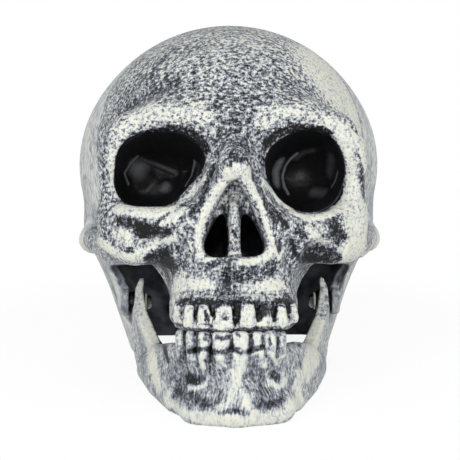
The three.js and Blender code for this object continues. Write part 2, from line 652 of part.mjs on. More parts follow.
function rearShell() {
  const moulding = headMoulding(grid(gridShares.rear, craniumCell), 1);
  return cutAll(addAll(moulding, Object.values(sides).map(ear)), Object.values(sides).map(earBore));
}

// The skin of a form round one socket, whose flat front falls between two lines of the grid
const socketMarginShare = 1.75; // of a facet
function socketSkin(form, shares) {
  const margin = socketMarginShare * socketCell;
  const steps = (from, to) => ladder(1, [from - margin, to + margin], socketCell);
  const across = shares.map(([x]) => x * craniumWidth);
  const up = shares.map(([, z]) => z * skullHeight);
  return skin(form, [
    steps(Math.min(...across), Math.max(...across)),
    steps(socketFrontShare * craniumLength, socketBackShare * craniumLength),
    steps(Math.min(...up), Math.max(...up)),
  ]);
}

// What lies in front of the cups, whose edges follow the sweep of the rims
function beforeCups() {
  const [reach, front] = [craniumWidth / 2, socketFrontShare * craniumLength - overrun];
  const across = Array.from({ length: rimSteps + 1 }, (_, i) => reach * ((2 * i) / rimSteps - 1));
  const edge = across.map((x) => [x, rimAt(x) + socketRecess]);
  const outline = [...edge, [reach, front], [-reach, front]].map(([x, y]) => new THREE.Vector2(x, y));
  const depth = 2 * skullHeight;
  const geometry = new THREE.ExtrudeGeometry(new THREE.Shape(outline), { depth, bevelEnabled: false });
  return solid(geometry.translate(0, 0, -skullHeight));
}

// A cup lines its socket from just behind the bone's edge to the back.
function socketCup(shares) {
  const [outside, inside] = [socketWall, 0].map((grow) => socketSkin(socketForm(shares, grow), shares));
  return cutAll(outside, [inside, beforeCups()]);
}

// The jaw is a moulding that is open at the back, round the inside of its arch.
function jawSolid() {
  const outside = skin(jawForm(), grid(gridShares.jaw, jawCell));
  const inside = skin(post(jawHollowShares), grid(gridShares.jawHollow, hollowCell));
  const ends = Object.values(sides);
  const teeth = lowerTeethShares.map((share) => tooth(share, lowerArchShares));
  const whole = addAll(outside.subtract(inside), [...ends.map(branch), ...ends.map(knuckle), ...teeth]);
  return cutAll(whole, [...ends.map(knuckleBore), belowTable()]);
}

const knuckleInner = condyleFace - branchThickness - condyleRelief;
function knuckle(side) {
  return bar(condyleRadius, [side * knuckleInner, ...pivot], condyleFace - knuckleInner, false);
}

function knuckleBore(side) {
  const length = condyleFace - knuckleInner + 2 * overrun;
  return bar(pivotShank + fitGap, [side * (knuckleInner - overrun), ...pivot], length, false);
}

const screwCrownShare = 0.7; // how wide the flat of a screw's crown is

// Screws are turned on their axis, from the end of the shank to the crown of the head.
function screw(shank, headRadius, headHeight, length) {
  const profile = [[0, 0], [shank / 2, 0], [shank, shank], [shank, length], [headRadius, length],
    [headRadius, length + headHeight / 2], [headRadius * screwCrownShare, length + headHeight],
    [0, length + headHeight]];
  return new THREE.LatheGeometry(profile.map(([x, y]) => new THREE.Vector2(x, y)), roundSides);
}

// A screw lies at a place with its tip towards the given direction.
function placedScrew(geometry, tip, direction) {
  const turn = new THREE.Quaternion().setFromUnitVectors(new THREE.Vector3(0, -1, 0), direction);
  const matrix = new THREE.Matrix4().compose(new THREE.Vector3(...tip), turn, new THREE.Vector3(1, 1, 1));
  return geometry.applyMatrix4(matrix);
}

function shellScrew([x, y, z]) {
  const length = shellScrewGrip + rearLugLength + fitGap - overrun;
  const tip = [x, y + rearLugLength + fitGap - length, z];
  const turned = screw(shellScrewShank, shellScrewHead, shellScrewHeadHeight, length);
  return placedScrew(turned, tip, new THREE.Vector3(0, -1, 0));
}

// From the ear inwards along the pivot: the jaw's knuckle, a washer and the screw's head
const washerFace = knuckleInner - fitGap;
const screwFace = washerFace - washerThickness - fitGap;

function pivotScrew(side) {
  const length = earFace + pivotGrip - fitGap - screwFace;
  const tip = [side * (screwFace + length), ...pivot];
  const turned = screw(pivotShank, pivotHead, pivotHeadHeight, length);
  return placedScrew(turned, tip, new THREE.Vector3(side, 0, 0));
}

function pivotWasher(side) {
  const [inner, outer] = [pivotShank + fitGap, washerRadius];
  const profile = [[inner, 0], [outer, 0], [outer, washerThickness], [inner, washerThickness], [inner, 0]];
  const ring = new THREE.LatheGeometry(profile.map(([x, y]) => new THREE.Vector2(x, y)), roundSides);
  ring.rotateZ(side * Math.PI / 2);
  return ring.translate(side * washerFace, ...pivot);
}

const head = new THREE.Group();
head.rotation.x = -lean;
head.position.z = standHeight;

function addPiece(name, geometry, look) {
  const piece = new THREE.Mesh(geometry, new THREE.MeshStandardMaterial(look));
  piece.name = name;
  head.add(piece);
}
const bonePaint = { color: 0xc9ccc8, roughness: 0.6, metalness: 0 };
const blackGloss = { color: 0x0b0b0c, roughness: 0.25, metalness: 0 };
const zincSteel = { color: 0xb4b6b8, roughness: 0.35, metalness: 1 };
const whiteNylon = { color: 0xe4e2da, roughness: 0.5, metalness: 0 };

addPiece('face_shell', geometryOf(faceShell()), bonePaint);
addPiece('rear_shell', geometryOf(rearShell()), bonePaint);
addPiece('jaw', geometryOf(jawSolid()), bonePaint);
Object.entries(socketShares).forEach(([name, shares]) => {
  addPiece(name, geometryOf(socketCup(shares)), blackGloss);
});
lugPlaces.forEach((at, i) => addPiece(`shell_screw_${i + 1}`, shellScrew(at), zincSteel));
Object.entries(sides).forEach(([name, side]) => {
  addPiece(`${name}_pivot_screw`, pivotScrew(side), zincSteel);
  addPiece(`${name}_pivot_washer`, pivotWasher(side), whiteNylon);
});

const skull = new THREE.Group();
skull.add(head);
skull.updateMatrixWorld(true);
const box = new THREE.Box3().setFromObject(skull, true);
head.position.x -= (box.min.x + box.max.x) / 2;
head.position.y -= (box.min.y + box.max.y) / 2;

export default skull;
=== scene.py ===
# %% [markdown]
# # A painted plastic skull with a jaw that drops
#
# The real object is a life-size halloween decoration: hollow black plastic mouldings, brushed with
# off-white paint until the high places are nearly white and the deep ones stay black. Here its packed
# CAD model is the fixed frame, and each moulding gets a finer form and its paint in Blender.

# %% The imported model
import json
import math
from collections import namedtuple

import bpy
import numpy as np
import openvdb
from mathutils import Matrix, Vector


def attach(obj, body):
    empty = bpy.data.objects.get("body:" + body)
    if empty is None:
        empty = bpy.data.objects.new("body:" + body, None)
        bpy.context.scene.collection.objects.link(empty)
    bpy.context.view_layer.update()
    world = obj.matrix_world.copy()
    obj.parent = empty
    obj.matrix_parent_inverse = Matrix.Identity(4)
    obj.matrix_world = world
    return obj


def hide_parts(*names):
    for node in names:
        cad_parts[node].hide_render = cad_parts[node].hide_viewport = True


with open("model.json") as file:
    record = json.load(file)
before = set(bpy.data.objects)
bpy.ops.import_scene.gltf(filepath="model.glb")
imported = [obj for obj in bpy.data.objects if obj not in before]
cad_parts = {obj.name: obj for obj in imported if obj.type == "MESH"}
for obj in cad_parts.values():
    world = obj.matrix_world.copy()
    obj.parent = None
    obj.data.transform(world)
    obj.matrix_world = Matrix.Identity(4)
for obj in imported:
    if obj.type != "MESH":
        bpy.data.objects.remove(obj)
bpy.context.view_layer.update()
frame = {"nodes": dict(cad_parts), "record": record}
print("CAD nodes:", ", ".join(sorted(frame["nodes"])))

# %% [markdown]
# ## The level frame
#
# The skull leans back on the table, which makes it awkward to describe. A skull is easier to shape held
# level: x to the viewer's right, y to the back, z up, from the middle of the head, in millimetres. Only
# the finished points are turned onto the table. The jaw's hinge is known in both frames, so it gives
# the shift between them.

# %% From level to table
LEAN = math.radians(17)
CRANIUM_LENGTH, SKULL_HEIGHT = 172, 194
PIVOT = (0.029 * CRANIUM_LENGTH, -0.17 * SKULL_HEIGHT)  # the jaw's, back and up from the head's middle


def lean_back(y, z):
    return y * math.cos(LEAN) + z * math.sin(LEAN), z * math.cos(LEAN) - y * math.sin(LEAN)


hinge = frame["record"]["behaviour"]["joints"][0]["pos_m"]
turned_pivot = lean_back(*PIVOT)
SHIFT = (hinge[1] * 1000 - turned_pivot[0], hinge[2] * 1000 - turned_pivot[1])


def to_table(points):
    """Level millimetres to metres on the table."""
    y, z = lean_back(points[:, 1], points[:, 2])
    return np.stack([points[:, 0], y + SHIFT[0], z + SHIFT[1]], 1) / 1000


def to_level(point):
    """Metres on the table to level millimetres."""
    x, y, z = (n * 1000 for n in point)
    y, z = y - SHIFT[0], z - SHIFT[1]
    return np.array([x, y * math.cos(LEAN) - z * math.sin(LEAN), y * math.sin(LEAN) + z * math.cos(LEAN)])


print("The middle of the head stands", round(SHIFT[1], 2), "mm above the table")

# %% [markdown]
# ## Clay
#
# Bone has no flat faces and no seams, and its ridges flow into each other. Subdivision surfaces make
# that possible but slow to steer, and boolean joints leave creases. A distance field is closer to a
# sculptor's clay: each point of a grid holds its distance to the surface, less than zero inside, so that
# lumps join softly and hollows are carved softly. The grid lines stand closer together where the
# detail is. openvdb then lays a skin of quads where the distance is zero.

# %% Grid lines and soft joints
AIR = 30.0  # millimetres, further than any test needs
BORDER = 9  # how far outside a form its distances are still laid


def lines(low, high, step, *finer):
    """Grid lines with a step, and with finer steps between (from, to, step)."""
    places = [low]
    while places[-1] < high:
        inside = [fine for start, stop, fine in finer if start <= places[-1] < stop]
        places.append(places[-1] + min(inside, default=step))
    return np.array(places, np.float32)


def soft_min(a, b, soft):
    if soft == 0:
        return np.minimum(a, b)
    share = np.clip(0.5 + 0.5 * (b - a) / soft, 0, 1)
    return b + (a - b) * share - soft * share * (1 - share)


def soft_max(a, b, soft):
    return -soft_min(-a, -b, soft)


# A form gives distances for grids of x, y and z, and the box in which it is less than zero.
Form = namedtuple("Form", "depth low high")
print("A soft joint of 2 mm at equal distances adds", -soft_min(0.0, 0.0, 2.0), "mm")


# %% The clay itself
class Clay:
    """Distances to a surface on a grid, in level millimetres."""

    def __init__(self, x, y, z):
        self.lines = [x, y, z]
        self.depth = np.full([len(x), len(y), len(z)], AIR, np.float32)

    def window(self, low, high):
        return tuple(slice(*np.searchsorted(a, ends)) for a, ends in zip(self.lines, zip(low, high)))

    def places(self, window):
        x, y, z = (a[part] for a, part in zip(self.lines, window))
        return x[:, None, None], y[None, :, None], z[None, None, :]

    def everywhere(self):
        return self.places((slice(None),) * 3)

    def shape(self, form, join, margin):
        window = self.window(np.subtract(form.low, margin), np.add(form.high, margin))
        old = self.depth[window]
        if old.size:
            self.depth[window] = join(old, form.depth(*self.places(window)))

    def add(self, form, soft=0.0):
        self.shape(form, lambda old, new: soft_min(old, new, soft), soft + BORDER)

    def carve(self, form, soft=0.0):
        self.shape(form, lambda old, new: soft_max(old, -new, soft), soft + BORDER)

    def press(self, places, radius, lift):
        """Raises the surface along a line of places, or lowers it."""
        window = self.window(places.min(0) - radius, places.max(0) + radius)
        x, y, z = self.places(window)
        nearest = np.full(self.depth[window].shape, radius * radius, np.float32)
        for px, py, pz in places:
            nearest = np.minimum(nearest, (x - px) ** 2 + (y - py) ** 2 + (z - pz) ** 2)
        self.depth[window] -= lift * (1 - nearest / (radius * radius)) ** 2

    def sample(self, points):
        """Distances at any points, from the eight grid points round each."""
        total = np.zeros(len(points))
        parts = []
        for axis, a in enumerate(self.lines):
            spot = np.interp(points[:, axis], a, np.arange(len(a)))
            first = np.minimum(spot.astype(int), len(a) - 2)
            parts.append((first, spot - first))
        for corner in np.ndindex(2, 2, 2):
            index = tuple(first + step for (first, _), step in zip(parts, corner))
            share = np.prod([rest if step else 1 - rest for (_, rest), step in zip(parts, corner)], 0)
            total += self.depth[index] * share
        return total

    def normals(self, points, reach=1.0):
        slopes = [self.sample(points + step) - self.sample(points - step) for step in np.eye(3) * reach]
        slope = np.stack(slopes, 1)
        return slope / np.maximum(np.linalg.norm(slope, axis=1, keepdims=True), 1e-6)

    def copy(self):
        twin = Clay(*self.lines)
        twin.depth = self.depth.copy()
        return twin


print("A cube of 10 mm with steps of 2 mm has", Clay(*[lines(0, 10, 2)] * 3).depth.size, "grid points")

# %% [markdown]
# ## Forms
#
# Anatomy books draw the skull as a few masses: an egg for the vault, a wedge for the face, arches for
# the cheekbones. So a handful of forms is enough here: balls with three radii, limbs that taper between
# knots, upright posts with a squarish plan, and outlines that are pushed along one axis.


# %% Balls and limbs
def ball(centre, radii):
    def depth(x, y, z):
        u, v, w = ((n - c) / r for n, c, r in zip((x, y, z), centre, radii))
        reach = np.sqrt(u * u + v * v + w * w)
        slope = np.sqrt((u / radii[0]) ** 2 + (v / radii[1]) ** 2 + (w / radii[2]) ** 2)
        return reach * (reach - 1) / np.maximum(slope, 1e-6)

    return Form(depth, np.subtract(centre, radii), np.add(centre, radii))


def limb(*knots):
    """A chain of tapered rods; each knot is x, y, z and a radius."""
    knots = np.array(knots, float)

    def depth(x, y, z):
        nearest = AIR
        for (ax, ay, az, ar), (bx, by, bz, br) in zip(knots, knots[1:]):
            ex, ey, ez = bx - ax, by - ay, bz - az
            along = ((x - ax) * ex + (y - ay) * ey + (z - az) * ez) / (ex * ex + ey * ey + ez * ez)
            t = np.clip(along, 0, 1)
            span = np.sqrt((x - ax - ex * t) ** 2 + (y - ay - ey * t) ** 2 + (z - az - ez * t) ** 2)
            nearest = np.minimum(nearest, span - ar - (br - ar) * t)
        return nearest

    radii = knots[:, 3:]
    return Form(depth, (knots[:, :3] - radii).min(0), (knots[:, :3] + radii).max(0))


def flipped(form):
    """The same form on the other side of the face."""
    low, high = (np.array(corner, float) for corner in (form.low, form.high))
    low[0], high[0] = -form.high[0], -form.low[0]
    return Form(lambda x, y, z: form.depth(-x, y, z), low, high)


# %% Posts and blocks
def post(middle, foot, top, low, high, squareness, grow=0.0):
    """An upright post; foot and top are the half widths of its plan there."""

    def depth(x, y, z):
        t = np.clip((z - low) / (high - low), 0, 1)
        across, along = (f + (e - f) * t + grow for f, e in zip(foot, top))
        corner = np.abs(x / across) ** squareness + np.abs((y - middle) / along) ** squareness
        beside = (corner ** (1 / squareness) - 1) * np.minimum(across, along)
        return soft_max(beside, np.maximum(z - high, low - z), 7.5)

    reach = np.maximum(foot, top) + grow
    return Form(depth, (-reach[0], middle - reach[1], low), (reach[0], middle + reach[1], high))


def block(centre, halves, squareness=4.0, neck=0.0):
    """A rounded box, for a tooth or an ear's foot; it narrows upwards, or down if its neck is below zero."""
    start = 0.4  # the share of the half height before the middle where it begins to narrow

    def depth(x, y, z):
        rise = np.clip(start + np.sign(neck) * (z - centre[2]) / halves[2], 0, 1 + start)
        wide = 1 - abs(neck) * rise
        total = sum(np.abs((n - c) / h) ** squareness
                    for n, c, h in zip((x, y, z), centre, (halves[0] * wide, *halves[1:])))
        return (total ** (1 / squareness) - 1) * min(halves)

    return Form(depth, np.subtract(centre, halves), np.add(centre, halves))


# %% Outlines, and round bars across or along the head
def rounded(spots, steps=4):
    """A closed outline through the same spots, with a smooth curve between them."""
    spots = np.array(spots, float)
    before, after, next_after = (np.roll(spots, shift, 0) for shift in (1, -1, -2))
    curve = []
    for t in np.arange(steps) / steps:
        bend = (2 * before - 5 * spots + 4 * after - next_after) * t * t
        twist = (3 * spots - before - 3 * after + next_after) * t ** 3
        curve.append(spots + ((after - before) * t + bend + twist) / 2)
    return np.stack(curve, 1).reshape(-1, 2).tolist()


def outline_depth(spots, u, v):
    """Distance from a closed outline in a plane, less than zero inside."""
    nearest, side = AIR * AIR, 1.0
    for (au, av), (bu, bv) in zip(spots, spots[1:] + spots[:1]):
        eu, ev, wu, wv = bu - au, bv - av, u - au, v - av
        t = np.clip((wu * eu + wv * ev) / (eu * eu + ev * ev), 0, 1)
        nearest = np.minimum(nearest, (wu - eu * t) ** 2 + (wv - ev * t) ** 2)
        above = (v >= av, v < bv, eu * wv > ev * wu)
        crossed = (above[0] & above[1] & above[2]) | ~(above[0] | above[1] | above[2])
        side = np.where(crossed, -side, side)
    return side * np.sqrt(nearest)


def across(spots, low=-90.0, high=90.0):
    """An outline of y and z, pushed along x."""

    def depth(x, y, z):
        return np.maximum(outline_depth(spots, y, z), np.maximum(low - x, x - high))

    (y0, z0), (y1, z1) = np.min(spots, 0), np.max(spots, 0)
    return Form(depth, (low, y0, z0), (high, y1, z1))


def backwards(spots, low, high):
    """An outline of x and z, pushed along y."""

    def depth(x, y, z):
        return np.maximum(outline_depth(spots, x, z), np.maximum(low - y, y - high))

    (x0, z0), (x1, z1) = np.min(spots, 0), np.max(spots, 0)
    return Form(depth, (x0, low, z0), (x1, high, z1))


def bar(axis, centre, radius, low, high):
    """A round bar along an axis, from low to high on it."""
    others = [n for n in range(3) if n != axis]

    def depth(*place):
        round_part = np.sqrt(sum((place[n] - centre[n]) ** 2 for n in others)) - radius
        return np.maximum(round_part, np.maximum(low - place[axis], place[axis] - high))

    first, last = (np.add(centre, grow * radius).astype(float) for grow in (-1, 1))
    first[axis], last[axis] = low, high
    return Form(depth, first, last)


print("A ball of 10 mm is", float(ball((0, 0, 0), (10, 10, 10)).depth(12.0, 0.0, 0.0)), "mm away at 12 mm")

# %% [markdown]
# ## The head's masses
#
# Both head mouldings come from one head, cut along a seam that runs over the crown and bows forward at
# the temples, as the fine line in the photograph does. The rear is a bowl whose rim stands on the
# table, and the upper jaw is a squarish post under the nose. A sculptor could push all this out of one
# sphere; masses with names and sizes can be set against the photograph one by one.

# %% The core of the head, and the head's hollow
BOWL = dict(middle=44.7, foot=(46.5, 44.7), top=(71.2, 53.3), low=-66.0, high=5.8, squareness=2.8)
JAW_POST = dict(middle=-48.2, foot=(28.0, 33.0), top=(30.0, 25.8), low=-47.0, high=-2.0, squareness=2.4)
VAULT = (74.9, 79.9, 66.7)
TEMPLE = ball((82, -40, 25), (24, 22, 24))
WALL = 3.0


def behind(top, foot):
    """What lies behind and below a line that is seen from the side."""
    (top_y, top_z), (foot_y, foot_z) = top, foot
    run, rise = top_y - foot_y, top_z - foot_z

    def depth(x, y, z):
        return ((z - foot_z) * run - (y - foot_y) * rise) / math.hypot(run, rise) + 0 * x

    return Form(depth, (-90, foot_y - 50, -120), (90, 120, top_z + 30))


def head_core(clay):
    clay.add(ball((0, 21, 36), VAULT))
    clay.add(ball((0, -10, 47), (57, 60, 50)), 13.5)
    clay.add(post(**BOWL), 18)
    clay.carve(behind((98, 5.8), (61.7, -48.5)), 16)
    clay.add(ball((0, -30, 8), (50, 39, 46)), 12)
    clay.carve(TEMPLE, 10)
    clay.carve(flipped(TEMPLE), 10)


def hollow_out(clay):
    """Leaves a wall, as the moulding has it."""
    core = Clay(*clay.lines)
    head_core(core)
    core.add(post(**{**JAW_POST, "low": -60.0, "high": -17.5, "grow": -0.3}), 7)
    clay.depth = np.maximum(clay.depth, -(core.depth + WALL))


print("The vault is", 2 * VAULT[0], "mm wide, and the wall is", WALL, "mm thick")


# %% [markdown]
# ## Ridges of the face
#
# Each ridge that the brush caught is a limb: the cheekbone with its arch back to the seam, the outer
# rim of the eye, the brow, the inner rim and the rim of the nose. The two lower rims differ, because
# the real skull's two eyes do. A sculpting brush would be freer, but a limb keeps its name and its
# knots, so that one ridge can be moved without touching the rest. The first number is how softly it
# joins the clay.

# %% Ridges and hollows
RIDGES = {
    "cheek": (8, [(30, -62, -10, 8), (44, -55, -10, 9), (55, -40, -9, 7.5), (62, -24, -6, 6),
                  (66, -6, -3, 5.5), (67.5, 3, -2.5, 6.5)]),
    "outer rim": (8, [(50, -56, 38, 5.5), (55, -50, 26, 5.5), (55, -46, 10, 6), (53, -50, -4, 7)]),
    "brow": (12, [(4, -65, 42, 6.5), (18, -65.5, 46.5, 6), (32, -63.5, 48, 6), (46, -58, 43.5, 6),
                  (52, -53, 34, 6)]),
    "inner rim": (6, [(5, -67.5, 36, 6), (7, -71, 20, 5.5), (12, -70, 6, 5.5), (18, -68, -4, 6)]),
    "nose rim": (5, [(0, -81.7, 22, 4.5), (10, -75.7, 8, 4.2), (17, -71.5, -5, 4.5),
                     (16.5, -73, -16, 4.2), (7, -76, -20.5, 3.8), (0, -78, -20, 3.8)]),
}
MIDDLE_RIDGES = [
    (7, [(-18, -69, 0, 6), (-30, -67, 0, 6), (-44, -60, 1, 6.5), (-53, -50, 3, 7)]),
    (7, [(18, -69, -3, 6), (30, -67, -4, 6), (44, -60, -2, 6.5), (53, -50, 3, 7)]),
    (7, [(0, -66, 38, 7), (0, -74, 30, 6), (0, -82, 24, 5)]),
]
HOLLOWS = [((-38, -71, -11), (10, 7, 4)), ((42, -67, -16), (11, 7, 8)), ((-24, -80, -17), (7, 5, 9)),
           ((24, -80, -17), (7, 5, 9))]
NOSE = rounded([(0, 16), (6, 9), (10, -1), (12.8, -9.5), (11, -15.5), (0, -17), (-11, -15.5), (-12.8, -9.5),
                (-10, -1), (-6, 9)])
NOSTRILS = [
    rounded([(-6, 2.5), (-3.6, 0.5), (-3, -13), (-7, -16.5), (-12, -15.5), (-13, -10), (-9.5, -2)]),
    rounded([(3.4, 0.5), (6, 2.5), (9.5, -2), (13, -10), (12, -15), (7, -16), (3, -13)]),
]


def face_form(clay):
    head_core(clay)
    clay.add(post(**JAW_POST), 8)
    for soft, knots in RIDGES.values():
        clay.add(limb(*knots), soft)
        clay.add(flipped(limb(*knots)), soft)
    for soft, knots in MIDDLE_RIDGES:
        clay.add(limb(*knots), soft)
    for centre, radii in HOLLOWS:
        clay.carve(ball(centre, radii), 4)


print(len(RIDGES), "ridges on both sides,", len(MIDDLE_RIDGES), "single ones and", len(HOLLOWS), "hollows")


# %% [markdown]
# ## Teeth
#
# The teeth are part of their mouldings, not pieces of their own, so they are added to the same clay and
# show no line at the gum. Each stands on a squarish arch, and its width is read off the photograph,
# because they are all different and some are missing.

# %% Rows of teeth: middle across, width, middle height, height
UPPER_TEETH = [(-24.5, 4.7, -41.3, 9.3), (-19.6, 6, -42.5, 10.9), (-13.4, 6.4, -42.7, 11.4),
               (-5.3, 9.2, -42.5, 13.8), (5.1, 7.4, -41.7, 13), (12.3, 6.6, -42.7, 11.4),
               (19.4, 6.8, -42.7, 11.4), (25.2, 5, -41.3, 9.3)]
LOWER_TEETH = [(-23.4, 4.8, -54.6, 11.8), (-19.2, 4, -55, 11.8), (-13.6, 6.4, -55.4, 11.8),
               (-6.2, 8, -55.6, 12.4), (1.8, 7.6, -55.6, 12.4), (9.2, 6.8, -55.4, 11.8), (15, 5, -54.8, 11.6),
               (19.8, 4.4, -55, 11.2)]
UPPER_ARCH = (-47.0, 29.0, 34.9)
LOWER_ARCH = (-46.0, 28.0, 34.0)
UPPER_NECK, LOWER_NECK = 0.24, -0.16
ARCH_POWER = 2.4  # squarer than an ellipse, whose power is 2
END_RISE = 4.5  # how far the gum's lower edge rises at the ends of the arch


def arch_band(arch, low, high, half, back=-50.0):
    """The gum that the teeth stand in, a band that follows their arch and rises at its ends."""
    middle, wide, deep = arch

    def depth(x, y, z):
        corner = np.abs(x / wide) ** ARCH_POWER + np.abs((y - middle) / deep) ** ARCH_POWER
        beside = np.abs((corner ** (1 / ARCH_POWER) - 1) * wide + half) - half
        foot = low + END_RISE * np.clip((np.abs(x) - 20) / 9, 0, 1) ** 2
        return soft_max(soft_max(beside, np.maximum(foot - z, z - high), 2.0), y - back + 0 * x, 2.0)

    return Form(depth, (-wide - 2, middle - deep - 2, low), (wide + 2, back, high))


def set_teeth(clay, row, arch, neck):
    middle, wide, deep = arch
    for x, width, z, height in row:
        front = middle - deep * (1 - abs(x / wide) ** ARCH_POWER) ** (1 / ARCH_POWER)
        clay.add(block((x, front, z), (width / 2 + 0.2, 4, height / 2), 4.0, neck), 0.8)


print(len(UPPER_TEETH), "upper teeth and", len(LOWER_TEETH), "lower ones")

# %% The face's moulding as solid clay
face = Clay(
    lines(-74, 74, 1.15, (-31, 31, 0.62)),
    lines(-94, 6, 1.15, (-94, -50, 0.8)),
    lines(-53, 106, 1.15, (-53, 45, 0.8), (-53, -28, 0.6)),
)
BEFORE_FACE = -130  # further forward than any of it
face_form(face)
face.add(arch_band(UPPER_ARCH, -47.5, -34, 1.7), 1.0)
set_teeth(face, UPPER_TEETH, UPPER_ARCH, UPPER_NECK)
face.add(arch_band(UPPER_ARCH, -48.6, -46.2, 2.1), 1.5)
face.carve(backwards(NOSE, BEFORE_FACE, -68.8), 2.4)
face.add(limb((0, -69.5, 6, 2.4), (0.4, -71, -3, 2.8), (0.2, -73, -15, 3.0)), 3.0)
print("The face's grid has", face.depth.size, "points")

# %% [markdown]
# ## The camera, and marks made through it
#
# The camera stands where the photographer's did, so a spot of the photograph is also a line of sight.
# Following that line until it meets the clay turns a mark seen in the photograph into a place on the
# form. Relief and paint are then laid along such marks, and still sit on the surface from any side.

# %% The camera
LENS, SENSOR, PICTURE = 112.0, 36.0, 460
DISTANCE, AIM_HEIGHT = 0.7, 0.0653
TARGET = Vector((0.0, SHIFT[0] / 1000, AIM_HEIGHT))
SWING, RISE = math.radians(-1.5), math.radians(12)
away = Vector((math.sin(SWING) * math.cos(RISE), -math.cos(SWING) * math.cos(RISE), math.sin(RISE)))

camera = bpy.data.objects.new("camera", bpy.data.cameras.new("camera"))
camera.data.lens, camera.data.sensor_width = LENS, SENSOR
camera.location = TARGET + away * DISTANCE
camera.rotation_euler = (-away).to_track_quat("-Z", "Y").to_euler()
bpy.context.collection.objects.link(camera)
bpy.context.scene.camera = camera
print("The camera stands", DISTANCE, "m away and looks down by", round(math.degrees(RISE)), "degrees")

# %% From a spot of the photograph to a place on the clay
turn = camera.rotation_euler.to_matrix()
EYE = to_level(camera.location)
SIGHT = [to_level(camera.location + turn @ Vector(axis)) - EYE for axis in ((1, 0, 0), (0, 1, 0), (0, 0, -1))]
SIGHT = [axis / np.linalg.norm(axis) for axis in SIGHT]
FOCAL = LENS / SENSOR * PICTURE
FRONT = -94.0  # a plane just before the face, where the lines of sight set out
TOUCH = 0.02  # millimetres from the clay at which a line has met it
SIGHT_STEPS = 150


def along(spots, step=1.6):
    """Spots at even steps along a line of spots."""
    spots = np.array(spots, float)
    if len(spots) == 1:
        return spots
    lengths = np.r_[0, np.cumsum(np.linalg.norm(np.diff(spots, axis=0), axis=1))]
    even = np.linspace(0, lengths[-1], max(2, int(lengths[-1] / step) + 1))
    return np.stack([np.interp(even, lengths, spots[:, n]) for n in (0, 1)], 1)


def seen(clay, spots, front=FRONT):
    """Where the lines of sight through some spots meet the clay behind a plane, or pass it most closely."""
    spots = np.array(spots, float)
    right, down = spots[:, :1] - PICTURE / 2, spots[:, 1:] - PICTURE / 2
    sight = SIGHT[2] + (SIGHT[0] * right - SIGHT[1] * down) / FOCAL
    sight /= np.linalg.norm(sight, axis=1, keepdims=True)
    reach = (front - EYE[1]) / sight[:, 1]
    best, nearest = EYE + sight * reach[:, None], np.full(len(spots), AIR)
    for _ in range(SIGHT_STEPS):
        places = EYE + sight * reach[:, None]
        depth = clay.sample(places)
        closer = (np.abs(depth) < np.abs(nearest)) & (nearest > TOUCH)
        best[closer], nearest[closer] = places[closer], depth[closer]
        reach += np.where(nearest > TOUCH, np.clip(depth * 0.8, 0.05, 2.0), 0)
    return best


print("The brow's middle in the photograph is at", seen(face, [(232, 115)])[0].round(1), "mm on the form")

# %% [markdown]
# ## Relief and paint marks
#
# A mark has a radius, how far the form rises there, its paint and its line of spots. Paint above zero
# adds to what the brush left and paint below zero takes it away, down to bare black plastic. On the real
# toy the brush was nearly dry and went over everything, so paint and relief agree: most marks here carry
# both. An image could hold the paint too, but marks stay sharp and can be changed one at a time.

